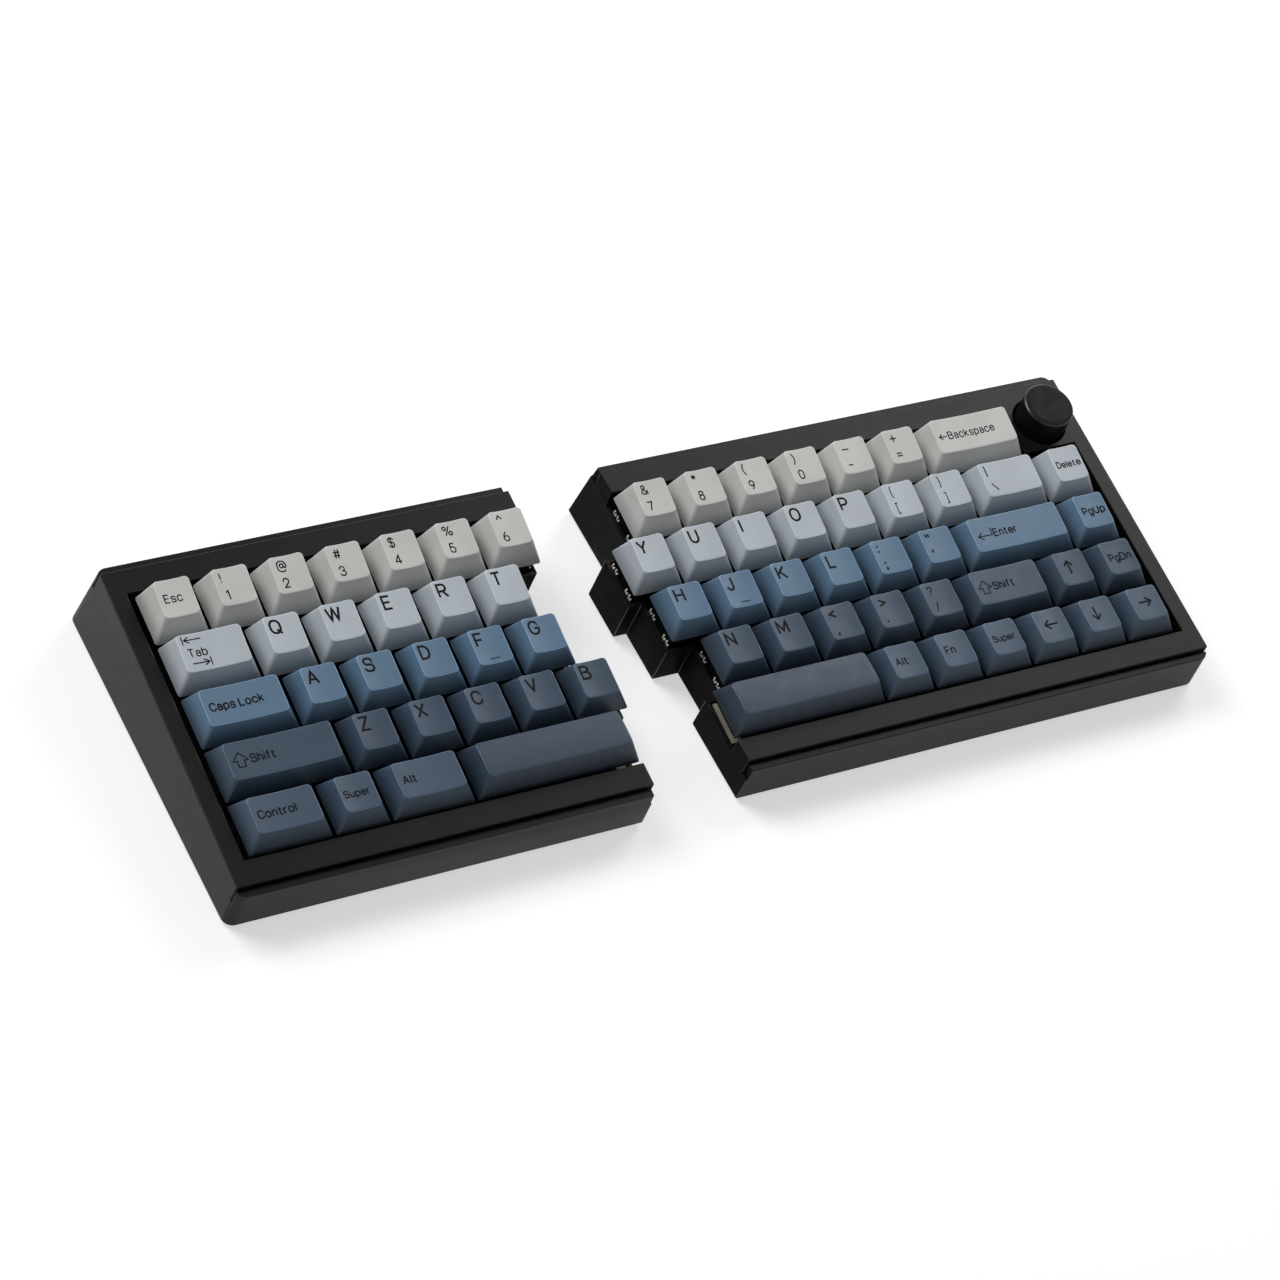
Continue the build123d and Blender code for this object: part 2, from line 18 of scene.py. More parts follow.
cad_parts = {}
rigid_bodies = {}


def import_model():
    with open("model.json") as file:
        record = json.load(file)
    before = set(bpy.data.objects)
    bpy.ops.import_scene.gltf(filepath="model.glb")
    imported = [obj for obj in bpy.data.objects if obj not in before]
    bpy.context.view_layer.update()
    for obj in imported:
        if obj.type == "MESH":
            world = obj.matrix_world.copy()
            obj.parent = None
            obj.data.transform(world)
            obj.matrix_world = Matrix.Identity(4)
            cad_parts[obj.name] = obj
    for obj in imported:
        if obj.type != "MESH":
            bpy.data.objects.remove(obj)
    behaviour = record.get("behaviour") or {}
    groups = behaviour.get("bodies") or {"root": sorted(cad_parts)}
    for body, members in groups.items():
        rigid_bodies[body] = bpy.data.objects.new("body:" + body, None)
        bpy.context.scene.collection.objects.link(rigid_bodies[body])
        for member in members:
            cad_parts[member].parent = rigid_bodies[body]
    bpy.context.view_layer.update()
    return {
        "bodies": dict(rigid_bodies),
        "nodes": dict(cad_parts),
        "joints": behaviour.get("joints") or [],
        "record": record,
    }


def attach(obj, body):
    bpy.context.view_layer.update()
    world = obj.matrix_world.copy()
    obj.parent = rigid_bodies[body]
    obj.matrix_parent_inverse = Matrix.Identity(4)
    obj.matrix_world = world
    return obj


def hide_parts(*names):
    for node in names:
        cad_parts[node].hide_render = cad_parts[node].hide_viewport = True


log = logging.getLogger("split_keyboard")

Socket = bpy.types.NodeSocket
Spot = tuple[float, float]

MM = 0.001
PITCH = 19.05
ROW_COUNT = 5
# The split's place in each row, in units of the pitch from the left, and the knob's foot on
# the right deck.
SPLIT_UNITS = (7, 6.5, 6.75, 7.25, 7)
KNOB_PLACE = (298.0, -6.1, 5.0)


class Side(Enum):
    """The two halves, as their bodies and nodes are named."""

    LEFT = "left"
    RIGHT = "right"


@dataclass(frozen=True)
class Key:
    """One key: its width in units of the pitch, its legend and the one printed above it."""

    units: float
    legend: str = ""
    shifted: str = ""


@dataclass(frozen=True)
class KeyGroup:
    """The keys that one CAD node holds, from the left."""

    node: str
    keys: tuple[Key, ...]


def group(node: str, *legends: str, units: float = 1) -> KeyGroup:
    """A group of keys of one width.

    Args:
        node: The CAD node's name.
        legends: Each key's legend. Two signs are the legend and the one printed above it.
        units: The keys' width in units of the pitch.

    Returns:
        The group.
    """
    pairs = [len(text) == 2 and not text[1].isalpha() for text in legends]
    keys = [Key(units, *text) if pair else Key(units, text) for text, pair in zip(legends, pairs)]
    return KeyGroup(node, tuple(keys))


ROWS = {
    Side.LEFT: (
        (
            group("key_escape", "Esc"),
            group("keys_1_2_3", "1!", "2@", "3#"),
            group("keys_4_5_6", "4$", "5%", "6^"),
        ),
        (
            group("key_tab", "Tab", units=1.5),
            group("keys_q_w_e", *"QWE"),
            group("keys_r_t", *"RT"),
        ),
        (
            group("key_caps_lock", "Caps Lock", units=1.75),
            group("keys_a_s_d", *"ASD"),
            group("keys_f_g", *"FG"),
        ),
        (
            group("key_left_shift", "Shift", units=2.25),
            group("keys_z_x_c", *"ZXC"),
            group("keys_v_b", *"VB"),
        ),
        (
            group("key_control", "Control", units=1.5),
            group("key_system", "Super"),
            group("key_alt", "Alt", units=1.5),
            group("key_left_space", "", units=3),
        ),
    ),
    Side.RIGHT: (
        (
            group("keys_7_8_9", "7&", "8*", "9("),
            group("keys_0_minus_equals", "0)", "-_", "=+"),
            group("key_backspace", "Backspace", units=2),
        ),
        (
            group("keys_y_u_i", *"YUI"),
            group("keys_o_p", *"OP"),
            group("keys_brackets", "[{", "]}"),
            group("key_backslash", "\\|", units=1.5),
            group("key_delete", "Delete"),
        ),
        (
            group("keys_h_j_k", *"HJK"),
            group("keys_l_semicolon_quote", "L", ";:", "'\""),
            group("key_enter", "Enter", units=2.25),
            group("key_page_up", "PgUp"),
        ),
        (
            group("keys_n_m", *"NM"),
            group("keys_comma_period_slash", ",<", ".>", "/?"),
            group("key_right_shift", "Shift", units=1.75),
            group("key_arrow_up", "↑"),
            group("key_page_down", "PgDn"),
        ),
        (
            group("key_right_space", "", units=3),
            group("keys_right_modifiers", "Alt", "Fn", "Super"),
            group("key_arrow_left", "←"),
            group("key_arrow_down", "↓"),
            group("key_arrow_right", "→"),
        ),
    ),
}
HOMING_KEYS = ("F", "J")


@dataclass(frozen=True)
class Deck:
    """The key plane of one half, placed in the frame."""

    origin: np.ndarray
    slope: float

    @property
    def up(self) -> np.ndarray:
        """The direction square to the plane."""
        return np.array([0, -math.sin(self.slope), math.cos(self.slope)])

    def place(self, points: np.ndarray) -> np.ndarray:
        """Turns points on the deck into the frame.

        Args:
            points: Rows of x, y, z in millimetres.

        Returns:
            The same points in metres, turned about X by the slope and moved to the origin.
        """
        x, y, z = np.asarray(points, float).T
        cosine, sine = math.cos(self.slope), math.sin(self.slope)
        turned = np.stack([x, y * cosine - z * sine, y * sine + z * cosine], 1)
        return turned * MM + self.origin


def read_decks(frame: dict) -> dict[Side, Deck]:
    """Works out both key planes from the knob's hinge and the slide between the halves.


    Returns:
        The deck of each side.
    """
    joints = {joint["name"]: joint for joint in frame["record"]["behaviour"]["joints"]}
    hinge, slide = joints["knob_turn"], joints["split_slide"]
    _, lean, rise = hinge["axis"]
    slope = math.atan2(-lean, rise)
    knob = Deck(np.zeros(3), slope).place(np.array([KNOB_PLACE]))[0]
    right = np.array(hinge["pos_m"]) - knob
    left = right + np.array([slide["range_m"][0], 0, 0])
    return {Side.LEFT: Deck(left, slope), Side.RIGHT: Deck(right, slope)}


def linear(colour: str) -> tuple[float, float, float, float]:
    """A hexadecimal screen colour as linear light with an alpha of 1."""
    parts = np.array([int(colour[i : i + 2], 16) for i in (0, 2, 4)]) / 255
    light = np.where(parts <= 0.04045, parts / 12.92, ((parts + 0.055) / 1.055) ** 2.4)
    return (*light.tolist(), 1.0)


@dataclass(frozen=True)
class Wiring:
    """Short ways to fill a node tree."""

    tree: bpy.types.NodeTree

    def feed(self, node: bpy.types.Node, inputs: dict) -> Socket:
        """Fills a node's inputs.

        Args:
            node: The node.
            inputs: A value for each input's name or number, or an output that is linked to it.

        Returns:
            The node's first output.
        """
        for name, value in inputs.items():
            if isinstance(value, Socket):
                self.tree.links.new(value, node.inputs[name])
            else:
                node.inputs[name].default_value = value
        return node.outputs[0]

    def add(self, kind: str, inputs: dict) -> Socket:
        """Adds a node of a kind, fills its inputs and gives its first output."""
        return self.feed(self.tree.nodes.new(kind), inputs)

    def math(self, operation: str, a: Socket, b: Socket | float) -> Socket:
        """Works one number out of two."""
        node = self.tree.nodes.new("ShaderNodeMath")
        node.operation = operation
        return self.feed(node, {0: a, 1: b})

    def ranged(
        self,
        source: Socket,
        low: float,
        high: float | Socket,
        start: float = 0.0,
        end: float = 1.0,
        way: str = "LINEAR",
    ) -> Socket:
        """Spreads a number out.

        Args:
            source: The number.
            low: What it becomes at the start of its range.
            high: What it becomes at the end.
            start: The start of its range.
            end: The end.
            way: How it goes from one to the other.

        Returns:
            The new number.
        """
        node = self.tree.nodes.new("ShaderNodeMapRange")
        node.interpolation_type = way
        names = ("Value", "From Min", "From Max", "To Min", "To Max")
        return self.feed(node, dict(zip(names, (source, start, end, low, high))))


@dataclass(frozen=True)
class Finish:
    """A moulded, painted or metal surface: fine grain in its relief, slow drifts in its tone.

    Sizes of the grain and the drifts are in millimetres. Painted shade darkens a cap's skirt,
    for the shade that falls between the caps: what is left of the colour there grows smoothly
    to the whole at the shade's height.
    """

    name: str
    colour: str
    roughness: float
    metallic: float = 0.0
    specular: float = 0.5
    grain_size: float = 0.22
    grain_depth: float = 0.012
    relief: float = 0.6
    drift_size: float = 14.0
    drift: float = 0.05
    speckle: float = 0.03
    gloss_drift: float = 0.05
    noise_range: Spot = (0.3, 0.7)
    coat: float = 0.0
    coat_roughness: float = 0.35
    # Above 1 the gain lifts the whole colour, a painted highlight.
    highlight_gain: float = 1.0
    # Painted shade: the share of the colour left at a cap's skirt, and the height where it is
    # whole.
    painted_shade: float = 1.0
    painted_shade_height: float = 5.6
    stretch: tuple[float, float, float] = (1.0, 1.0, 1.0)
    polish: float = 0.15

    def material(self) -> bpy.types.Material:
        """Builds the finish's node material once and keeps it for the other pieces.

        Returns:
            The material.
        """
        made = bpy.data.materials.get(self.name)
        if made:
            return made
        made = bpy.data.materials.new(self.name)
        made.use_nodes = True
        nodes, wiring = made.node_tree.nodes, Wiring(made.node_tree)
        place = nodes.new("ShaderNodeTexCoord").outputs["Object"]
        place = wiring.add("ShaderNodeMapping", {"Vector": place, "Scale": self.stretch})

        def noise(size: float, detail: float = 2.0) -> Socket:
            """A noise whose spots are about a size across."""
            inputs = {"Vector": place, "Scale": 1 / (size * MM), "Detail": detail}
            return wiring.add("ShaderNodeTexNoise", inputs)

        def about(source: Socket, level: float, drift: float) -> Socket:
            """A noise's middle range spread to both sides of a level."""
            return wiring.ranged(source, level - drift, level + drift, *self.noise_range)

        grain = noise(self.grain_size, 3.0)
        # A gain above 1 lightens the colour as a painted highlight.
        drift = about(noise(self.drift_size), self.highlight_gain, self.highlight_gain * self.drift)
        tone = wiring.math("MULTIPLY", drift, about(grain, 1.0, self.speckle))
        # Painted shade: the colour darkens towards the cap's skirt, where shade falls between the
        # caps.
        if self.painted_shade < 1:
            rise = nodes.new("ShaderNodeAttribute")
            rise.attribute_name = "rise"
            height, way = rise.outputs["Fac"], "SMOOTHSTEP"
            painted_shade = wiring.ranged(height, self.painted_shade, 1.0, 0.0, self.painted_shade_height, way)
            tone = wiring.math("MULTIPLY", tone, painted_shade)
        tint = nodes.new("ShaderNodeVectorMath")
        tint.operation = "SCALE"
        bump = {"Strength": self.relief, "Distance": self.grain_depth * MM, "Height": grain}
        wiring.feed(nodes["Principled BSDF"], {
            "Base Color": wiring.feed(tint, {0: linear(self.colour)[:3], "Scale": tone}),
            "Roughness": about(noise(self.drift_size / 3), self.roughness, self.gloss_drift),
            "Metallic": self.metallic,
            "Specular IOR Level": self.specular,
            "Coat Weight": self.coat,
            "Coat Roughness": self.coat_roughness,
            "Normal": wiring.add("ShaderNodeBump", bump),
        })
        return made

    def edge(self, highlight_gain: float) -> "Finish":
        """A painted highlight for the same finish on a rounded edge: its colour lighter by the
        gain, its roughness lower by the polish.
        """
        smooth = self.roughness - self.polish
        return replace(self, name=f"{self.name}_edge", highlight_gain=highlight_gain, roughness=smooth)


CASE = Finish(
    "satin_black_case", "181818", 0.42, specular=0.17, grain_size=0.12, grain_depth=0.005,
    drift=0.03, gloss_drift=0.015,
)
# Painted shade: the walls inside and at the split are coloured darker than the case, for the shade
# they stand in.
CASE_WALL_SHADE = Finish(
    "case_wall_painted_shade", "101010", 0.6, specular=0.03, grain_size=0.2, grain_depth=0.01
)
PLATE = Finish("black_plate", "0c0c0d", 0.6, specular=0.03)
PLATE_EDGE = Finish("brown_plate_edge", "3a2c24", 0.6, grain_depth=0.02, speckle=0.12)
BOARD = Finish("board_lacquer", "12201a", 0.35, grain_depth=0.004, coat=0.3)
HOUSING = Finish("nylon_housing", "0a0a0b", 0.5, specular=0.04)
SLIDER = Finish("switch_slider", "7a3a28", 0.45)
# Painted glint: the catches are coloured near white so that they shine as glints.
CATCH_GLINT = Finish("catch_painted_glint", "fbf8f4", 0.3, metallic=0.1, drift_size=3.0)
STABILISER = Finish("stabiliser_housing", "0c0c0d", 0.45, specular=0.08)
GASKET = Finish("black_foam", "161617", 0.95, grain_size=0.5, grain_depth=0.15, speckle=0.25)
PAD = Finish("pale_pad", "8d887b", 0.8, grain_size=0.4, grain_depth=0.05, speckle=0.08)
SOCKET = Finish("socket_steel", "a9abad", 0.3, metallic=1.0, stretch=(0.2, 1.0, 1.0))
SCREW = Finish("screw_steel", "6f7072", 0.35, metallic=1.0, drift_size=4.0)
RUBBER = Finish("soft_rubber", "19191a", 0.85, grain_size=0.35, grain_depth=0.04)
ENCODER = Finish("encoder_steel", "8f9193", 0.4, metallic=1.0)
KNOB = Finish("knob_black", "171717", 0.42, specular=0.06, grain_size=0.1, grain_depth=0.004)
KNOB_SIDE = Finish("knob_side_black", "0e0e0e", 0.35, specular=0.1, stretch=(1.0, 1.0, 0.1))
KNOB_RING = Finish("knob_chamfer", "404041", 0.3, metallic=0.8)
INK = Finish("legend_ink", "0b0e13", 0.6, specular=0.15, grain_depth=0.003)
# Each row's caps have painted shade at their skirts, keeping this share of their colour.
CAP_ROWS = (
    Finish("cap_pale_grey", "cbcac7", 0.55, coat=0.06, painted_shade=0.6),
    Finish("cap_silver_blue", "b7bfc6", 0.55, coat=0.06, painted_shade=0.55),
    Finish("cap_steel_blue", "597690", 0.5, coat=0.06, painted_shade=0.38),
    Finish("cap_slate", "36485c", 0.5, coat=0.06, painted_shade=0.38),
    Finish("cap_navy_slate", "3e5064", 0.5, coat=0.06, painted_shade=0.38),
)
CAP_SPACE = Finish("cap_space_slate", "2b3b4e", 0.5, coat=0.06, painted_shade=0.38)
# Painted highlights: how much lighter the edges of each row's caps and of the cases are coloured.
EDGE_HIGHLIGHT_GAINS = (1.32, 1.45, 2.3, 2.6, 2.4)
CASE_EDGE_HIGHLIGHT_GAIN = 1.9


def stand(name: str, data: bpy.types.ID) -> bpy.types.Object:
    """Puts an object made of some data into the scene."""
    made = bpy.data.objects.new(name, data)
    bpy.context.scene.collection.objects.link(made)
    return made


def raised(flat: np.ndarray, z: float | np.ndarray) -> np.ndarray:
    """Rows of x and y with a height for all or for each."""
    return np.column_stack([flat, np.broadcast_to(z, len(flat))])


class Shell:
    """Points and faces gathered for one piece, in millimetres on a deck."""

    def __init__(self) -> None:
        """Starts empty."""
        self.points: list[np.ndarray] = []
        self.faces: list[list[int]] = []
        self.marks: list[int] = []
        self.count = 0

    def add_rings(self, rings: np.ndarray, marks: list[int] | None = None) -> None:
        """Takes in a closed skin of rings, each joined to the next, with both ends closed.

        Args:
            rings: An array of rings by points by x, y, z, anticlockwise from above while
                they run upwards on the outside.
            marks: The material's number for each band between rings, or none.
        """
        ring_count, width, _ = rings.shape
        here = np.arange(width)
        after = np.roll(here, -1)
        base = (np.arange(ring_count - 1) * width)[:, None]
        quads = [base + here, base + after, base + width + after, base + width + here]
        top, foot_end = (ring_count - 1) * width, ring_count * width
        first = np.stack([np.full(width, foot_end), after, here], -1)
        last = np.stack([np.full(width, foot_end + 1), top + here, top + after], -1)
        bands = np.repeat(marks if marks else [0] * (ring_count - 1), width).tolist()
        for faces in (np.stack(quads, -1).reshape(-1, 4), first, last):
            self.faces += (faces + self.count).tolist()
        self.marks += bands + [bands[0]] * width + [bands[-1]] * width
        self.points += [rings.reshape(-1, 3), np.stack([rings[0].mean(0), rings[-1].mean(0)])]
        self.count += foot_end + 2

    def piece(
        self,
        name: str,
        deck: Deck,
        body: str,
        finishes: tuple[Finish, ...],
        slot: str | None = None,
        replaces: tuple[str, ...] = (),
        sharp: float = 38.0,
    ) -> bpy.types.Object:
        """Makes the gathered mesh an object of the keyboard.

        Args:
            name: The piece's name.
            deck: The plane it was worked out on.
            body: The CAD body it rides on.
            finishes: Its materials, in the order of the marks.
            slot: The record's material slot; not used.
            replaces: The CAD nodes it stands for.
            sharp: The angle past which an edge is shaded sharp, in degrees.

        Returns:
            The object.
        """
        mesh = bpy.data.meshes.new(name)
        points = np.concatenate(self.points)
        mesh.from_pydata(deck.place(points).tolist(), [], self.faces)
        rise = mesh.attributes.new("rise", "FLOAT", "POINT")
        rise.data.foreach_set("value", points[:, 2].astype(np.float32))
        mesh.polygons.foreach_set("material_index", self.marks)
        for finish in finishes:
            mesh.materials.append(finish.material())
        mesh.shade_smooth()
        mesh.set_sharp_from_angle(angle=math.radians(sharp))
        return enrol(stand(name, mesh), body, replaces)


def enrol(
    made: bpy.types.Object, body: str, replaces: tuple[str, ...]
) -> bpy.types.Object:
    """Puts a piece on its body and names what it stands for.

    Args:
        made: The piece.
        body: The CAD body it rides on.
        replaces: The CAD nodes it stands for.

    Returns:
        The piece.
    """
    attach(made, body)
    if replaces:
        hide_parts(*replaces)
    log.info("%s rides on %s", made.name, body)
    return made


@dataclass(frozen=True)
class RingPattern:
    """Where the points of a rounded rectangle lie.

    A point is corner_share times the half sizes less the radius, plus the radius times its
    outward direction.
    """

    corner_share: np.ndarray
    outward: np.ndarray

    @classmethod
    def of(cls, along_x: int, along_y: int, in_corner: int) -> "RingPattern":
        """Lays the points out anticlockwise from the front right corner.

        Args:
            along_x: Steps along the front and the back.
            along_y: Steps along each side.
            in_corner: Steps round each corner.

        Returns:
            The pattern.
        """
        shares, outwards = [], []
        corners = ((1, -1), (1, 1), (-1, 1), (-1, -1))
        for number, corner in enumerate(corners):
            start = (number - 1) * math.pi / 2
            angles = start + np.linspace(0, math.pi / 2, in_corner + 1)
            shares.append(np.tile(corner, (in_corner + 1, 1)))
            outwards.append(np.stack([np.cos(angles), np.sin(angles)], 1))
            steps = (along_y if number % 2 == 0 else along_x) + 1
            blend = (np.arange(1, steps) / steps)[:, None]
            following = np.array(corners[(number + 1) % 4])
            shares.append(np.array(corner) * (1 - blend) + following * blend)
            outwards.append(np.tile(outwards[-1][-1], (len(blend), 1)))
        return cls(np.concatenate(shares).astype(float), np.concatenate(outwards))

    def ring(
        self, half_x: float, half_y: float, radius: float, middle_y: float = 0.0
    ) -> np.ndarray:
        """One rounded rectangle.

        Args:
            half_x: Half its width.
            half_y: Half its depth.
            radius: The radius of its corners.
            middle_y: Its middle's y.

        Returns:
            Rows of x and y.
        """
        half = np.array([half_x, half_y]) - radius
        return self.corner_share * half + self.outward * radius + np.array([0, middle_y])


@dataclass(frozen=True)
class CapProfile:
    """The side view that all caps of a row share: heights and how far the top is set in."""

    back_height: float
    front_height: float
    back_inset: float
    front_inset: float
    dish: float = 0.5
    crown: float = 0.0
    side_inset: float = 3.3


ROW_PROFILES = (
    CapProfile(9.5, 7.8, 1.5, 4.2),
    CapProfile(8.3, 6.9, 1.8, 3.8),
    CapProfile(7.2, 6.2, 2.0, 3.8),
    CapProfile(7.0, 6.3, 2.2, 3.5),
    CapProfile(7.2, 6.8, 2.5, 3.4),
)
SPACE_PROFILE = CapProfile(7.6, 7.9, 2.5, 3.4, dish=0.0, crown=0.3)
# How far apart the outer posts of the wide keys are, by their width in units.
STABILISER_SPACINGS = {2: 23.88, 2.25: 23.88, 3: 38.1}


@dataclass(frozen=True)
class Keycap:
    """One cap's shape about its own middle, with its skirt at z = 0."""

    units: float
    profile: CapProfile
    gap: float = 0.95
    wall: float = 1.1
    roof: float = 1.3
    skirt_radius: float = 0.9
    inner_radius: float = 0.5
    top_radius: float = 1.4
    edge: float = 0.27
    lip: float = 0.18
    unit_steps: int = 8
    side_steps: int = 6
    ceiling_lip: float = 0.015
    ceiling_shares: tuple[float, ...] = (0.4, 0.96)
    flank_shares: tuple[float, ...] = (0.35, 0.7)
    edge_shares: tuple[float, ...] = (0, 0.25, 0.5, 0.75, 1)
    top_shares: tuple[float, ...] = (0.94, 0.85, 0.72, 0.56, 0.38, 0.18)

    @property
    def width(self) -> float:
        """The skirt's width."""
        return self.units * PITCH - self.gap

    @property
    def depth(self) -> float:
        """The skirt's depth."""
        return PITCH - self.gap

    @property
    def top_half_x(self) -> float:
        """Half the top's width."""
        return self.width / 2 - self.profile.side_inset

    @property
    def top_back(self) -> float:
        """The y of the top's back edge."""
        return self.depth / 2 - self.profile.back_inset

    @property
    def top_front(self) -> float:
        """The y of the top's front edge."""
        return self.profile.front_inset - self.depth / 2

    @property
    def ceiling(self) -> float:
        """The height of the hollow's ceiling."""
        shape = self.profile
        return min(shape.back_height, shape.front_height) - shape.dish - self.roof

    def top(self, x: np.ndarray, y: np.ndarray) -> np.ndarray:
        """Height of the top: a slope from back to front, less a cylinder's dish across it,
        less a crown that falls off as the square of the distance from its middle line."""
        shape = self.profile
        share = (self.top_back - y) / (self.top_back - self.top_front)
        slope = shape.back_height + (shape.front_height - shape.back_height) * share
        dish = shape.dish * np.clip(1 - (x / self.top_half_x) ** 2, 0, 1)
        return slope - dish - shape.crown * (2 * share - 1) ** 2

    def lay(self, flat: np.ndarray, lift: float = 0.0) -> np.ndarray:
        """Rows of x and y laid on the top, or a lift above it."""
        return raised(flat, self.top(*flat.T) + lift)

    def rings(self) -> np.ndarray:
        """The skin from the hollow's ceiling down its walls, round the skirt, up the sides,
        over the rounded edge and in to the middle of the top.

        The edge is a parabola from a point on the side, by way of the sharp edge, to a point
        on the top: (1-t)^2 A + 2t(1-t) B + t^2 C.

        Returns:
            An array of rings by points by x, y, z.
        """
        shape, ceiling = self.profile, self.ceiling
        steps = (round(self.units * self.unit_steps), self.side_steps, self.side_steps)
        pattern = RingPattern.of(*steps)
        half_y = (self.top_back - self.top_front) / 2
        middle = (self.top_back + self.top_front) / 2
        rim = pattern.ring(self.top_half_x, half_y, self.top_radius, middle)
        outer_rim = self.lay(rim)
        outer_foot = raised(pattern.ring(self.width / 2, self.depth / 2, self.skirt_radius), 0)
        inner_x, inner_y = self.width / 2 - self.wall, self.depth / 2 - self.wall
        inner_foot = raised(pattern.ring(inner_x, inner_y, self.inner_radius), 0)
        back = inner_y - shape.back_inset * ceiling / shape.back_height
        front = inner_y - shape.front_inset * ceiling / shape.front_height
        lean = shape.side_inset * 2 * ceiling / (shape.back_height + shape.front_height)
        vault = ((back + front) / 2, self.inner_radius, (back - front) / 2)
        inner_roof = raised(pattern.ring(inner_x - lean, *vault), ceiling)

        def towards(a: np.ndarray, b: np.ndarray, distance: float) -> np.ndarray:
            """Points a distance from a on the way to b."""
            way = b - a
            return a + way * (distance / np.linalg.norm(way, axis=1, keepdims=True))

        centre = np.array([0, middle, ceiling])
        rings = [centre + (inner_roof - centre) * share for share in self.ceiling_shares]
        rings += [
            inner_roof + (inner_foot - inner_roof) * self.ceiling_lip,
            towards(inner_foot, inner_roof, self.lip),
            towards(inner_foot, outer_foot, self.lip),
            towards(outer_foot, inner_foot, self.lip),
            towards(outer_foot, outer_rim, self.lip),
        ]
        low, start = rings[-1], towards(outer_rim, outer_foot, self.edge)
        rings += [low * (1 - t) + start * t for t in self.flank_shares]
        land = rim - pattern.outward * self.edge
        end = self.lay(land)
        for t in self.edge_shares:
            rings.append(start * (1 - t) ** 2 + outer_rim * 2 * t * (1 - t) + end * t**2)
        for share in self.top_shares:
            rings.append(self.lay((land - [0, middle]) * share + [0, middle]))
        return np.stack(rings)

    @property
    def marks(self) -> list[int]:
        """The finish of each band of the skin: 1, a painted highlight, in the middle of the
        rounded edge.
        """
        return [0] * 10 + [1, 1] + [0] * 7

    def posts(self) -> list[float]:
        """The x of each post under the cap."""
        spread = STABILISER_SPACINGS.get(self.units, 0) / 2
        return [0.0, -spread, spread] if spread else [0.0]


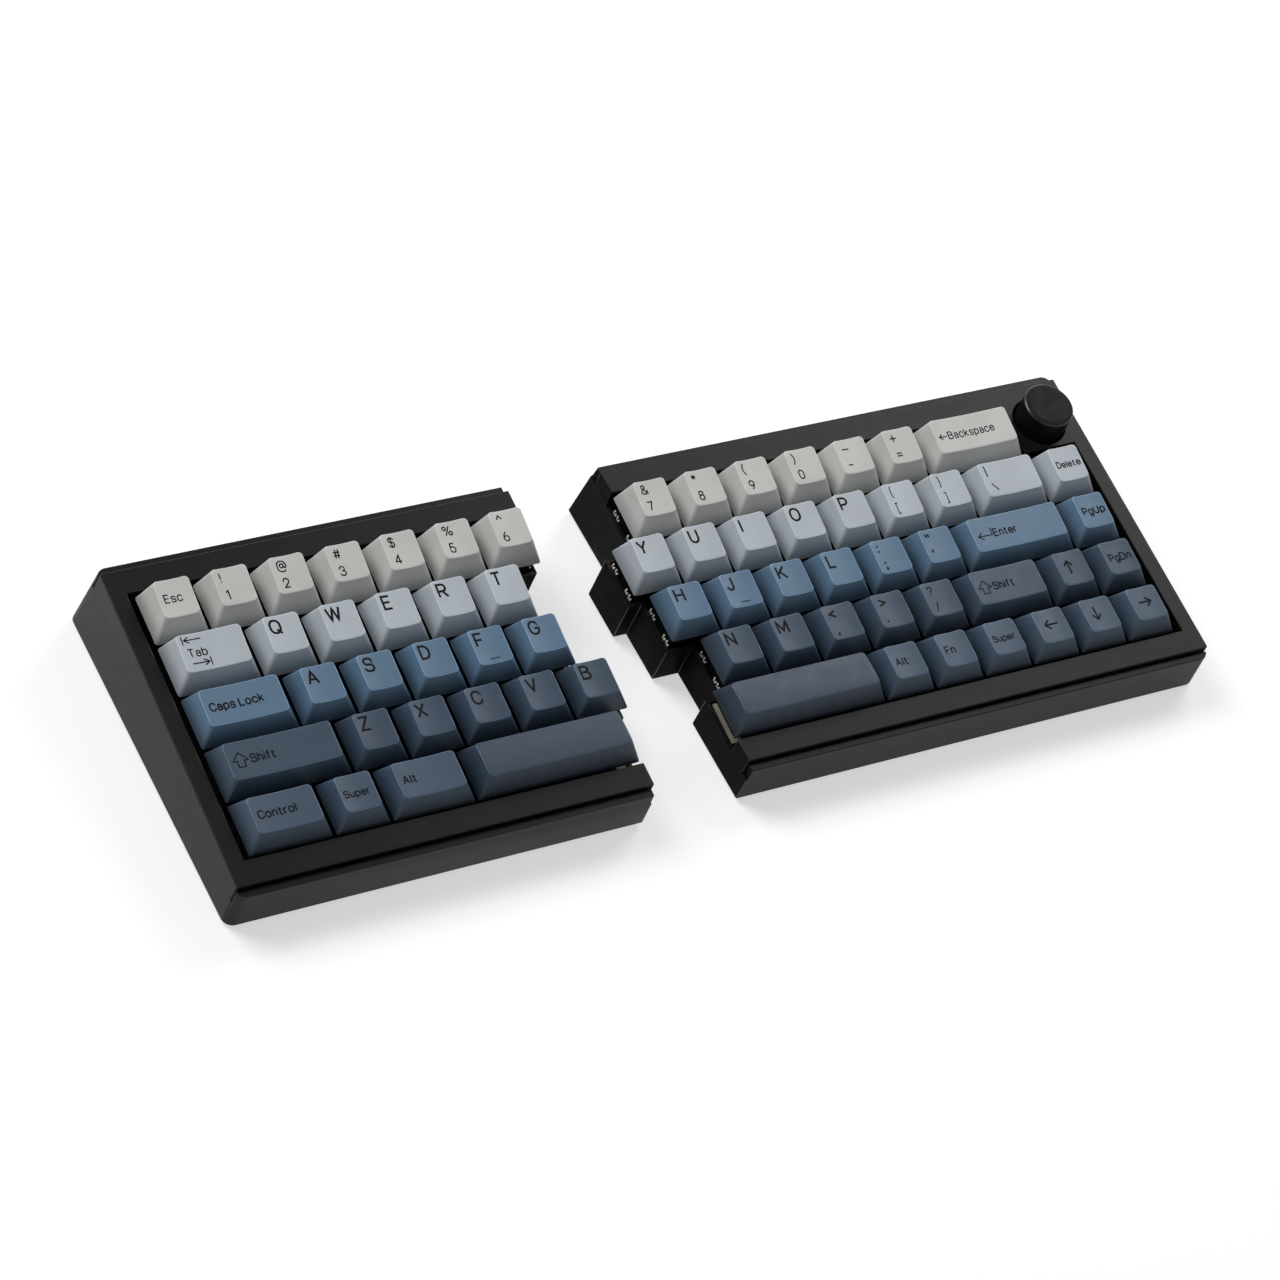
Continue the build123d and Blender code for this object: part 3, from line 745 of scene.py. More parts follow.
# Strokes of each character on a grid ten units to a capital's height. A stroke is a row of
# corners "x,y" or "x,y,radius", and "|" parts the strokes.
GLYPHS = {
    "A": "0,0 3.7,10 7.4,0|1.3,3.4 6.1,3.4",
    "B": "0,5.4 0,10 6.1,10,2.3 6.1,5.4,2.3 0,5.4 0,0 6.6,0,2.7 6.6,5.4,2.7 3,5.4",
    "C": "6.9,8 6.3,10,2.4 0,10,3.6 0,0,3.6 6.3,0,2.4 6.9,2",
    "D": "0,5 0,10 6.8,10,4 6.8,0,4 0,0 0,5",
    "E": "6,10 0,10 0,0 6,0|0,5.2 5.4,5.2",
    "F": "6,10 0,10 0,0|0,5 5.2,5",
    "G": "6.9,8 6.3,10,2.4 0,10,3.6 0,0,3.6 7.2,0,3.5 7.2,4.6 4,4.6",
    "H": "0,0 0,10|7,0 7,10|0,5.2 7,5.2",
    "I": "0,0 0,10",
    "J": "4.8,10 4.8,0,2.4 0,0,2.4 0,2.8",
    "K": "0,0 0,10|6.6,10 0,3.4|2.4,5.8 6.9,0",
    "L": "0,10 0,0 5.6,0",
    "M": "0,0 0,10 4.2,2.2 8.4,10 8.4,0",
    "N": "0,0 0,10 7,0 7,10",
    "O": "3.8,10 0,10,3.8 0,0,3.8 7.6,0,3.8 7.6,10,3.8 3.8,10",
    "P": "0,0 0,10 6.4,10,2.8 6.4,4.4,2.8 0,4.4",
    "Q": "3.8,10 0,10,3.8 0,0,3.8 7.6,0,3.8 7.6,10,3.8 3.8,10|4.6,2.8 7.8,-0.8",
    "R": "0,0 0,10 6.4,10,2.7 6.4,4.6,2.7 0,4.6|3.4,4.6 6.8,0",
    "S": "6.6,7.6 6.6,10,2.5 0.3,10,2.5 0.3,5.2,2.3 6.8,5.2,2.5 6.8,0,2.5 0,0,2.5 0,2.5",
    "T": "0,10 7,10|3.5,10 3.5,0",
    "U": "0,10 0,0,3.4 6.8,0,3.4 6.8,10",
    "V": "0,10 3.6,0 7.2,10",
    "W": "0,10 2.6,0 5.2,10 7.8,0 10.4,10",
    "X": "0,0 6.8,10|0,10 6.8,0",
    "Y": "0,10 3.5,4.4 7,10|3.5,4.4 3.5,0",
    "Z": "0,10 6.4,10 0,0 6.6,0",
    "a": "0.4,5.6 0.4,7.2,2 5,7.2,2.3 5,0|5,3.9 0,3.9,1.9 0,0,1.9 5,0,1.9 5,1.9",
    "b": "0,10 0,0|0,3.6 0,7.2,2.7 5.6,7.2,2.7 5.6,0,2.7 0,0,2.7 0,3.6",
    "c": "5.2,6 4.9,7.2,1.6 0,7.2,2.5 0,0,2.5 4.9,0,1.6 5.2,1.2",
    "e": "0,3.8 5.6,3.8 5.6,7.2,2.7 0,7.2,2.8 0,0,2.8 4.8,0,1.9 5.3,1",
    "f": "1.4,0 1.4,10,1.8 3.8,10|0,7.2 3.4,7.2",
    "g": "5.4,7.2 5.4,-2.8,2.4 0.4,-2.8,2.2 0.4,-1.6"
    "|5.4,3.6 5.4,7.2,2.7 0,7.2,2.7 0,0,2.7 5.4,0,2.7 5.4,3.6",
    "h": "0,10 0,0|0,4.2 0,7.2,2.4 5,7.2,2.4 5,0",
    "i": "0,7.2 0,0|0,10.2 0,9.1",
    "k": "0,10 0,0|4.8,7.2 0,2.4|1.6,4 5,0",
    "l": "0,10 0,0",
    "n": "0,7.2 0,0|0,4.2 0,7.2,2.4 5,7.2,2.4 5,0",
    "o": "2.8,7.2 0,7.2,2.8 0,0,2.8 5.6,0,2.8 5.6,7.2,2.8 2.8,7.2",
    "p": "0,7.2 0,-2.8|0,3.6 0,7.2,2.7 5.6,7.2,2.7 5.6,0,2.7 0,0,2.7 0,3.6",
    "r": "0,7.2 0,0|0,4.4 0,7.2,2.2 3.2,7.2",
    "s": "4.9,6.1 4.6,7.2,1.5 0.2,7.2,1.8 0.2,3.7,1.7 5,3.7,1.8 5,0,1.8 0.3,0,1.5 0,1.1",
    "t": "1.4,9.4 1.4,0,1.6 3.8,0|0,7.2 3.6,7.2",
    "u": "0,7.2 0,0,2.4 5,0,2.4 5,3|5,7.2 5,0",
    "0": "2.9,10 0,10,2.9 0,0,2.9 5.8,0,2.9 5.8,10,2.9 2.9,10",
    "1": "0,7.6 2.6,10 2.6,0",
    "2": "0,7.3 0,10,2.8 5.8,10,2.8 5.8,5.8,2 0,0 6,0",
    "3": "0,7.8 0,10,2.5 5.6,10,2.5 5.6,5.3,2.3 2.4,5.3"
    "|2.6,5.3 5.9,5.3,2.6 5.9,0,2.6 0,0,2.6 0,2.6",
    "4": "4.6,0 4.6,10 0,2.6 6.6,2.6",
    "5": "5.3,10 0.9,10 0.5,5 1.2,6.2,1.2 5.8,6.2,2.8 5.8,0,2.9 0,0,2.9 0,2.3",
    "6": "2.9,6 0,6,2.9 0,0,2.9 5.8,0,2.9 5.8,6,2.9 2.9,6|0,3 0,7,3.5 3.6,10.2",
    "7": "0,10 5.8,10 2.2,0",
    "8": "2.9,10 0.4,10,2.3 0.4,5.4,2.3 5.4,5.4,2.3 5.4,10,2.3 2.9,10"
    "|2.9,5.4 0,5.4,2.6 0,0,2.7 5.8,0,2.7 5.8,5.4,2.6 2.9,5.4",
    "9": "2.9,10 0,10,2.9 0,4,2.9 5.8,4,2.9 5.8,10,2.9 2.9,10|5.8,7 5.8,3,3.5 2.2,-0.2",
    "!": "0,10 0,3.2|0,1.2 0,0",
    "@": "7.8,0 7.8,-1.8,1.5 0,-1.8,4.2 0,10,4.6 9.6,10,4.6 9.6,2.4,1.5 6.8,2.4,1 6.8,6.8"
    "|6.8,4.6 6.8,6.8,1.9 2.9,6.8,1.9 2.9,2.4,1.9 6.8,2.4,1.9 6.8,4.6",
    "#": "2,0 3.4,10|5,0 6.4,10|0.3,6.8 7.8,6.8|0,3.2 7.5,3.2",
    "$": "6,7.6 6,10,2.4 0.3,10,2.4 0.3,5.2,2.3 6.2,5.2,2.4 6.2,0,2.4 0,0,2.4 0,2.4"
    "|3.1,11.4 3.1,-1.4",
    "%": "1.9,10 0,10,1.9 0,6,1.9 3.8,6,1.9 3.8,10,1.9 1.9,10"
    "|8,4 6.1,4,1.9 6.1,0,1.9 9.9,0,1.9 9.9,4,1.9 8,4|7.8,10 2.2,0",
    "^": "0,5.8 3,10.2 6,5.8",
    "&": "7.4,0 0.9,7.4,1.4 0.9,10,1.9 5,10,1.9 5,6.6,1.6 0,4.4,2 0,0,2.4 5.6,0,2.6 7.2,4.6",
    "*": "2.4,10.4 2.4,5|0,9 4.8,6.4|0,6.4 4.8,9",
    "(": "2.4,11 0,8.4,3 0,0.6,3 2.4,-2",
    ")": "0,11 2.4,8.4,3 2.4,0.6,3 0,-2",
    "_": "0,3.4 9,3.4",
    "-": "0,4 6,4",
    "+": "0,4.4 8.4,4.4|4.2,8.6 4.2,0.2",
    "=": "0,5.8 7,5.8|0,2.6 7,2.6",
    "[": "2.6,11 0,11 0,-1.6 2.6,-1.6",
    "]": "0,11 2.6,11 2.6,-1.6 0,-1.6",
    "{": "3,11 1.3,11,1.2 1.3,4.7,1.2 0,4.7|0,4.7 1.3,4.7,1.2 1.3,-1.6,1.2 3,-1.6",
    "}": "0,11 1.7,11,1.2 1.7,4.7,1.2 3,4.7|3,4.7 1.7,4.7,1.2 1.7,-1.6,1.2 0,-1.6",
    "|": "0,11.5 0,-2",
    "\\": "0,9.5 6.4,0.5",
    "/": "0,-0.5 4.4,10.5",
    ";": "0.6,7.6 0.6,5.6|0.9,1.8 0.9,0 0,-2",
    ":": "0,9 0,7|0,2.6 0,0.6",
    "'": "0,10 0,6",
    '"': "0,10 0,6|3.4,10 3.4,6",
    "<": "7.6,8.4 0,4.6 7.6,0.8",
    ">": "0,8.4 7.6,4.6 0,0.8",
    ",": "0.9,1.8 0.9,0 0,-2",
    ".": "0,2 0,0",
    "?": "0,7.6 0,10,2.5 5.2,10,2.5 5.2,5.8,2 2.6,4.4,1 2.6,2.9|2.6,1.2 2.6,0",
    "←": "10,4 0.6,4|4.2,7.2 0.6,4 4.2,0.8",
    "→": "0,4 9.4,4|5.8,7.2 9.4,4 5.8,0.8",
    "↑": "3.2,-1 3.2,8.4|0,4.8 3.2,8.4 6.4,4.8",
    "↓": "3.2,9 3.2,-0.4|0,3.2 3.2,-0.4 6.4,3.2",
    "⇧": "5.4,0 3,0 3,4.4 0,4.4 5.4,10.2 10.8,4.4 7.8,4.4 7.8,0 5.4,0",
    "⇤": "0,1 0,7|13,4 1.2,4|4.6,6.2 1.2,4 4.6,1.8",
    "⇥": "13,1 13,7|0,4 11.8,4|8.4,6.2 11.8,4 8.4,1.8",
    "↵": "13,9.5 13,3.4 1,3.4|5,6.2 1,3.4 5,0.6",
}


class Line(Enum):
    """What a legend's place on a cap's top is measured from."""

    BACK = "back"
    MIDDLE = "middle"
    FRONT = "front"


@dataclass(frozen=True)
class Print:
    """How one kind of legend is printed.

    It starts x in from the top's left edge and y up from its line, in millimetres. The
    height is a capital's, and the strokes' weight is in tenths of it.
    """

    line: Line
    x: float
    y: float
    height: float
    weight: float = 1.5


ARROWS = "←→↑↓"
ARROW = Print(Line.MIDDLE, 2.9, -1.6, 5.16, 1.3)
LETTER = Print(Line.BACK, 1.6, -5.8, 4.3, 1.75)
UPPER_SIGN = Print(Line.BACK, 2.2, -4.6, 3.0)
LOWER_SIGN = Print(Line.FRONT, 2.4, 1.9, 3.0)
SIGN_WEIGHTS = {";": 2.3, "'": 2.3, ",": 2.3, ".": 2.3, "[": 1.2, "]": 1.2}
WORD = Print(Line.MIDDLE, 1.8, -1.3, 2.55)
BOLD_WORD = replace(WORD, weight=1.95)
TIGHT_WORD = Print(Line.MIDDLE, 1.2, -1.3, 2.193, 1.95)
TAB_LEGENDS = [
    ("⇤", Print(Line.BACK, 1.6, -3.9, 4.7, 0.8)),
    ("Tab", Print(Line.MIDDLE, 2.2, -1.4, 2.55)),
    ("⇥", Print(Line.FRONT, 2.4, 0.7, 4.7, 0.8)),
]
ICONS = {"Shift": ("⇧", 4.7), "Enter": ("↵", 4.7), "Backspace": ("←", 3.0)}


@dataclass(frozen=True)
class Lettering:
    """Generic legends drawn as strokes, thin plates that follow the cap's top.

    Bearing, word gap and the longest step are in tenths of a capital's height, and the lift
    and the shortest step are in millimetres.
    """

    bearing: float = 2.9
    word_gap: float = 3.4
    longest_step: float = 2.5
    shortest_step: float = 0.02
    lift: float = 0.035
    corner_steps: int = 6
    arc_pull: float = 0.4477
    mitre_limit: float = 1.9

    def path(self, stroke: str) -> np.ndarray:
        """Follows one stroke with its corners rounded.

        A rounded corner V is the cubic curve from V + r u to V + r w, with both handles at
        the arc's pull of that distance, u and w being the ways to its neighbours.

        Args:
            stroke: Its corners, as GLYPHS writes them.

        Returns:
            Rows of x and y.
        """
        corners = [[float(number) for number in corner.split(",")] for corner in stroke.split()]
        spots = np.array([corner[:2] for corner in corners])
        t = np.linspace(0, 1, self.corner_steps)[:, None]
        runs = [spots[:1]]
        for number in range(1, len(corners) - 1):
            here = spots[number]
            if len(corners[number]) == 2:
                runs.append(here[None])
                continue
            ways = spots[[number - 1, number + 1]] - here
            ways *= corners[number][2] / np.linalg.norm(ways, axis=1, keepdims=True)
            start, end = here + ways
            first, second = here + ways * self.arc_pull
            runs.append(
                start * (1 - t) ** 3
                + first * 3 * t * (1 - t) ** 2
                + second * 3 * t**2 * (1 - t)
                + end * t**3
            )
        line = np.concatenate(runs + [spots[-1:]])
        steps = np.linalg.norm(np.diff(line, axis=0), axis=1)
        line = line[np.r_[True, steps > self.shortest_step]]
        lengths = np.linalg.norm(np.diff(line, axis=0), axis=1)
        counts = np.maximum(1, np.ceil(lengths / self.longest_step).astype(int))
        first_of_run = np.repeat(np.r_[0, np.cumsum(counts)[:-1]], counts)
        share = (np.arange(counts.sum()) - first_of_run) / np.repeat(counts, counts)
        begin, end = np.repeat(line[:-1], counts, 0), np.repeat(line[1:], counts, 0)
        return np.concatenate([begin + (end - begin) * share[:, None], line[-1:]])

    def ribbon(self, line: np.ndarray, weight: float) -> tuple[np.ndarray, np.ndarray]:
        """Both edges of a stroke: each point moved sideways by half the weight along the
        mitre of the two runs that meet there.

        Args:
            line: The stroke's middle.
            weight: Its width.

        Returns:
            The left and the right edge.
        """
        ways = np.diff(line, axis=0)
        ways /= np.linalg.norm(ways, axis=1, keepdims=True)
        sides = np.stack([-ways[:, 1], ways[:, 0]], 1)
        before, after = np.r_[sides[:1], sides], np.r_[sides, sides[-1:]]
        mitre = before + after
        length = np.maximum(np.linalg.norm(mitre, axis=1, keepdims=True), 1e-6)
        stretch = np.minimum(2 / length, self.mitre_limit)
        offset = mitre / length * stretch * weight / 2
        return line + offset, line - offset

    def width(self, text: str, height: float) -> float:
        """How wide a text is, in millimetres."""
        return self.layout(text)[1] * height / 10

    def layout(self, text: str) -> tuple[list[tuple[float, np.ndarray]], float]:
        """Sets a text's strokes one character after another.

        Args:
            text: What it says.

        Returns:
            The strokes' middles with where their character starts, and the whole width.
        """
        strokes, pen = [], 0.0
        for character in text:
            if character == " ":
                pen += self.word_gap
                continue
            lines = [self.path(stroke) for stroke in GLYPHS[character].split("|")]
            strokes += [(pen, line) for line in lines]
            pen += max(line[:, 0].max() for line in lines) + self.bearing
        return strokes, pen - self.bearing

    def stamp(self, shell: Shell, cap: Keycap, text: str, style: Print, middle: Spot) -> None:
        """Lays a text on a cap's top.

        Args:
            shell: What the plates go into.
            cap: The cap.
            text: What it says.
            style: How it is printed.
            middle: The cap's middle on the deck.
        """
        lines = {Line.BACK: cap.top_back, Line.FRONT: cap.top_front}
        level = lines.get(style.line, (cap.top_back + cap.top_front) / 2)
        start = (style.x - cap.top_half_x, level + style.y)
        for pen, line in self.layout(text)[0]:
            edges = self.ribbon(line, style.weight)
            left, right = [(edge + [pen, 0]) * style.height / 10 + start for edge in edges]
            rows = [(left, 1), (right, 1), (right, -1), (left, -1)]
            ring = np.stack([cap.lay(edge, side * self.lift) for edge, side in rows], 1)
            shell.add_rings(ring + [*middle, 0])


@dataclass
class Keys:
    """All keys of one half: caps, the posts and sliders under them, and their legends.

    Caps lower than the dark height are dark, and their words are printed bolder.
    """

    side: Side
    deck: Deck
    lettering: Lettering
    space_units: float = 3
    post_width: float = 5.0
    post_grip: float = 0.3
    slider_width: float = 5.8
    slider_drop: float = 2.2
    outer_slider_width: float = 4.8
    outer_slider_drop: float = 4.0
    shoulder: float = 0.4
    ease: float = 0.15
    shoulder_ease: float = 0.1
    corner: float = 0.5
    dark_height: float = 8.0
    icon_x: float = 1.4
    icon_gap: float = 0.8
    icon_line: float = 3.8
    icon_word_y: float = -1.4
    bar_half: Spot = (1.7, 0.3)
    bar_y: float = 1.9
    bar_profile: tuple[Spot, ...] = ((0, -0.2), (0, 0.12), (0.06, 0.24), (0.2, 0.3))

    def places(self) -> list[tuple[KeyGroup, int, list[tuple[Key, Spot]]]]:
        """Every group with its row and its keys' middles on the deck."""
        found = []
        for row, groups in enumerate(ROWS[self.side]):
            x = 0.0 if self.side is Side.LEFT else SPLIT_UNITS[row] * PITCH
            for keys in groups:
                members = []
                for key in keys.keys:
                    members.append((key, (x + key.units * PITCH / 2, -(row + 0.5) * PITCH)))
                    x += key.units * PITCH
                found.append((keys, row, members))
        return found

    def build(self) -> None:
        """Makes the caps, stems and legends of every group."""
        for keys, row, members in self.places():
            caps, stems, legends = Shell(), Shell(), Shell()
            space = members[0][0].units == self.space_units
            finish = CAP_SPACE if space else CAP_ROWS[row]
            for key, middle in members:
                cap = Keycap(key.units, SPACE_PROFILE if space else ROW_PROFILES[row])
                caps.add_rings(cap.rings() + [*middle, 0], cap.marks)
                self.add_stems(stems, cap, middle)
                for text, style in self.prints(cap, key):
                    self.lettering.stamp(legends, cap, text, style, middle)
                if key.legend in HOMING_KEYS:
                    self.add_homing_bar(caps, cap, middle)
            node, slot = keys.node, f"cap_row_{row + 1}"
            # The second finish is a painted highlight on the caps' rounded edges.
            finishes = (finish, finish.edge(EDGE_HIGHLIGHT_GAINS[row]))
            caps.piece(f"{node}_caps", self.deck, node, finishes, slot, (node,))
            stems.piece(f"{node}_stems", self.deck, node, (SLIDER,), None, (node,))
            if legends.count:
                legends.piece(f"{node}_legends", self.deck, node, (INK,))

    def add_stems(self, shell: Shell, cap: Keycap, middle: Spot) -> None:
        """Adds the posts of a cap and the sliders they are pressed on.

        Args:
            shell: What they go into.
            cap: The cap.
            middle: Its middle on the deck.
        """
        pattern, post = RingPattern.of(1, 1, 2), self.post_width / 2
        for number, offset in enumerate(cap.posts()):
            half = (self.outer_slider_width if number else self.slider_width) / 2
            drop = self.outer_slider_drop if number else self.slider_drop
            levels = (
                (half - self.ease, -drop),
                (half, self.ease - drop),
                (half, self.shoulder - self.shoulder_ease),
                (half - self.shoulder_ease, self.shoulder),
                (post, self.shoulder),
                (post, cap.ceiling + self.post_grip),
            )
            rings = [raised(pattern.ring(reach, reach, self.corner), z) for reach, z in levels]
            shell.add_rings(np.stack(rings) + [middle[0] + offset, middle[1], 0])

    def prints(self, cap: Keycap, key: Key) -> list[tuple[str, Print]]:
        """What a key says and how it is printed.

        Args:
            cap: The cap.
            key: The key.

        Returns:
            Each text with its print.
        """
        legend = key.legend
        word = BOLD_WORD if cap.profile.back_height < self.dark_height else WORD
        if key.shifted:
            weight = SIGN_WEIGHTS.get(legend, UPPER_SIGN.weight)
            signs = ((key.shifted, UPPER_SIGN), (legend, LOWER_SIGN))
            return [(sign, replace(style, weight=weight)) for sign, style in signs]
        if legend in ICONS:
            icon, height = ICONS[legend]
            style = Print(Line.MIDDLE, self.icon_x, -height / 2, height, self.icon_line / height)
            x = self.icon_x + self.lettering.width(icon, height) + self.icon_gap
            return [(icon, style), (legend, replace(word, x=x, y=self.icon_word_y))]
        if legend == "Tab":
            return TAB_LEGENDS
        if len(legend) == 1:
            return [(legend, ARROW if legend in ARROWS else LETTER)]
        tight = len(legend) > 4 and key.units == 1
        return [(legend, TIGHT_WORD if tight else word)]

    def add_homing_bar(self, shell: Shell, cap: Keycap, middle: Spot) -> None:
        """Adds the low bar that the forefingers find, a rounded rectangle that narrows upwards.

        Args:
            shell: What it goes into.
            cap: The cap.
            middle: The cap's middle on the deck.
        """
        pattern = RingPattern.of(6, 1, 4)
        rings = []
        for inset, level in self.bar_profile:
            half_x, half_y = np.array(self.bar_half) - inset
            flat = pattern.ring(half_x, half_y, half_y, cap.top_front + self.bar_y)
            rings.append(cap.lay(flat, level))
        shell.add_rings(np.stack(rings) + [*middle, 0])


@dataclass
class Knob:
    """The volume knob: a turned cap with a satin chamfer, and its shaft.

    Each point of the chamfer lies so far in from the side and so far down from the top.
    """

    deck: Deck
    radius: float = 8.85
    top: float = 10.9
    bottom: float = -0.5
    chamfer: tuple[Spot, ...] = ((0.0, 0.5), (0.06, 0.4), (0.44, 0.04), (0.55, 0.0))
    skirt_ease: float = 0.2
    dish_width: float = 2.5
    recess_radius: float = 7.4
    recess_top: float = 3.5
    shaft_radius: float = 3.0
    shaft_bottom: float = -3.48
    shaft_ease: float = 0.3
    hub_wall: float = 0.5
    steps: int = 128

    def turned(self, profile: list[tuple[float, float]]) -> np.ndarray:
        """A profile of radius and height turned about the knob's axis.

        Args:
            profile: Radius and height of each ring.

        Returns:
            An array of rings by points by x, y, z.
        """
        angles = np.arange(self.steps) * (2 * math.pi / self.steps)
        radius, height = np.array(profile).T
        x = KNOB_PLACE[0] + radius[:, None] * np.cos(angles)
        y = KNOB_PLACE[1] + radius[:, None] * np.sin(angles)
        return np.stack([x, y, np.repeat(height[:, None], self.steps, 1)], -1)

    def build(self) -> None:
        """Makes the knob and its shaft."""
        outer, ease = self.radius, self.skirt_ease
        shell = Shell()
        profile = [
            (self.shaft_radius + self.hub_wall, self.recess_top),
            (self.recess_radius, self.recess_top),
            (self.recess_radius, self.bottom),
            (outer - ease, self.bottom),
            (outer, self.bottom + ease),
            *((outer - inset, self.top - drop) for inset, drop in self.chamfer),
            (outer - self.dish_width, self.top),
        ]
        shell.add_rings(self.turned(profile), [0, 0, 0, 2, 2, 1, 1, 1, 0])
        finishes, cap = (KNOB, KNOB_RING, KNOB_SIDE), ("volume_knob",)
        shell.piece("knob_cap", self.deck, "knob", finishes, "knob", cap, sharp=30)
        shaft = Shell()
        profile = [
            (self.shaft_radius - self.shaft_ease, self.shaft_bottom),
            (self.shaft_radius, self.shaft_bottom + self.shaft_ease),
            (self.shaft_radius, self.recess_top + 2 * self.hub_wall),
        ]
        shaft.add_rings(self.turned(profile))
        shaft.piece("knob_shaft", self.deck, "knob", (ENCODER,), None, cap)


INNER_PARTS = {
    "circuit_board": BOARD,
    "switches": HOUSING,
    "stabilisers": STABILISER,
    "gaskets": GASKET,
    "edge_pad": PAD,
    "sockets": SOCKET,
    "feet": RUBBER,
}


@dataclass
class Casework:
    """Cases, frames, plates and what they hold: the CAD nodes with their edges eased.

    Sizes are in millimetres on the deck and angles in degrees. The weld's reach is in metres.
    """

    frame: dict
    side: Side
    deck: Deck
    seam_level: float = -5.5
    seam_reach: float = 0.06
    flange_half: float = 7.8
    catch_places: tuple[float, ...] = (-6.2, -3.9, 3.9, 6.2)
    catch_prong: tuple[float, float, float] = (0.5, 0.55, 2.0)
    catch_spread: float = 0.5
    catch_ease: float = 0.06
    catch_foot: float = 0.45
    catch_level: float = -6.4
    catch_trim: float = 0.1
    catch_offset: float = 0.2
    short_share: float = 0.6
    case_ease: float = 0.3
    frame_ease: float = 0.25
    weld_reach: float = 3e-6
    flat_angle: float = 0.5
    eased_angle: float = 30.0
    sharp_angle: float = 35.0
    upright_limit: float = 0.01

    def softened(
        self, node: str, finishes: tuple[Finish, ...], width: float
    ) -> bpy.types.Object:
        """Stands a copy with rounded edges in for a node.

        The first finish is for faces along the deck and for the walls that lean, the second
        for the walls square to the deck, which are those inside and at the split, and the third
        for the rounded edges; on the case and frame the second is a darker painted shade and the
        third a lighter painted highlight. The seam between frame and case keeps its edges sharp,
        so that it doesn't show.

        Args:
            node: The CAD node.
            finishes: Its finishes.
            width: How wide the edges are rounded, in millimetres, or 0 to leave them sharp.

        Returns:
            The piece.
        """
        mesh = self.frame["nodes"][node].data.copy()
        mesh.name = f"{node}_body"
        mesh.materials.clear()
        solid = bmesh.new()
        solid.from_mesh(mesh)
        bmesh.ops.remove_doubles(solid, verts=solid.verts, dist=self.weld_reach)
        if width:
            flat = math.radians(self.flat_angle)
            bmesh.ops.dissolve_limit(solid, angle_limit=flat, verts=solid.verts, edges=solid.edges)
        solid.to_mesh(mesh)
        angles = np.array([edge.calc_face_angle(0.0) for edge in solid.edges])
        solid.free()
        for finish in finishes:
            mesh.materials.append(finish.material())
        normals = np.zeros(len(mesh.polygons) * 3)
        mesh.polygons.foreach_get("normal", normals)
        # On the case and frame the upright walls take the second finish, a painted shade.
        upright = np.abs(normals.reshape(-1, 3) @ self.deck.up) < self.upright_limit
        mesh.polygons.foreach_set("material_index", upright.astype(np.int32))

        ends = np.zeros(len(mesh.edges) * 2, np.int32)
        mesh.edges.foreach_get("vertices", ends)
        places = np.zeros(len(mesh.vertices) * 3)
        mesh.vertices.foreach_get("co", places)
        heights = (places.reshape(-1, 3) - self.deck.origin) @ self.deck.up / MM
        off_seam = np.abs(heights[ends.reshape(-1, 2)] - self.seam_level).max(1) > self.seam_reach
        eased = (angles > math.radians(self.eased_angle)) & off_seam
        weights = mesh.attributes.new("bevel_weight_edge", "FLOAT", "EDGE")
        weights.data.foreach_set("value", eased.astype(np.float32))
        mesh.shade_smooth()
        mesh.set_sharp_from_angle(angle=math.radians(self.sharp_angle))
        made = stand(f"{node}_body", mesh)
        if width:
            ease = made.modifiers.new("eased_edges", "BEVEL")
            ease.width = width * MM
            ease.segments = 2
            # The rounded edges take the third finish, on the case and frame a painted highlight.
            ease.material = 2
            ease.limit_method = "WEIGHT"
            ease.use_clamp_overlap = False
        return enrol(made, f"{self.side.value}_half", (node,))

    def dress(self, node: str, finish: Finish) -> None:
        """Gives a CAD node a finish."""
        materials = self.frame["nodes"][node].data.materials
        materials.clear()
        materials.append(finish.material())
        log.info("%s is dressed in %s", node, finish.name)

    def bar(self, size: tuple[float, float, float], low: tuple[float, float, float]) -> np.ndarray:
        """A thin upright bar: four rounded rectangles that narrow at both ends.

        Args:
            size: Its size along each axis.
            low: The middle of its foot.

        Returns:
            An array of rings by points by x, y, z.
        """
        ease, pattern = self.catch_ease, RingPattern.of(1, 1, 2)
        half_x, half_y, height = size[0] / 2, size[1] / 2, size[2]
        levels = ((ease, 0.0), (0.0, ease), (0.0, height - ease), (ease, height))
        return low + np.stack([
            raised(pattern.ring(half_x - inset, half_y - inset, ease), z) for inset, z in levels
        ])

    def clips(self) -> None:
        """Makes the catches that show on the switches' flanks along the split, coloured near white
        as a painted glint.

        Each is a foot along the flank with a long and a short prong.
        """
        shell = Shell()
        outwards = 1 if self.side is Side.LEFT else -1
        width, depth, height = self.catch_prong
        trim, spread, level = self.catch_trim, self.catch_spread, self.catch_level
        foot = (width, depth + 2 * spread - trim, self.catch_foot)
        off_split = PITCH / 2 - self.flange_half + self.catch_offset
        for row in range(ROW_COUNT - 1):
            x = SPLIT_UNITS[row] * PITCH - outwards * off_split
            for place in self.catch_places:
                y = -(row + 0.5) * PITCH + place
                shell.add_rings(self.bar(foot, (x, y, level)))
                for step, share in ((spread, 1.0), (-spread, self.short_share)):
                    prong = (width - trim, depth, height * share)
                    shell.add_rings(self.bar(prong, (x, y + step, level + trim)))
        name = self.side.value
        shell.piece(f"{name}_switch_clips", self.deck, f"{name}_half", (CATCH_GLINT,))

    def build(self) -> None:
        """Makes or dresses everything of the half that stands still."""
        name = self.side.value
        # Case and frame: painted shade on the upright walls, painted highlight on the rounded
        # edges.
        case_finishes_with_painted_light = (CASE, CASE_WALL_SHADE, CASE.edge(CASE_EDGE_HIGHLIGHT_GAIN))
        self.softened(f"{name}_bottom_case", case_finishes_with_painted_light, self.case_ease)
        self.softened(f"{name}_top_frame", case_finishes_with_painted_light, self.frame_ease)
        self.softened(f"{name}_switch_plate", (PLATE, PLATE_EDGE), 0.0)
        for part, finish in INNER_PARTS.items():
            self.dress(f"{name}_{part}", finish)
        self.clips()


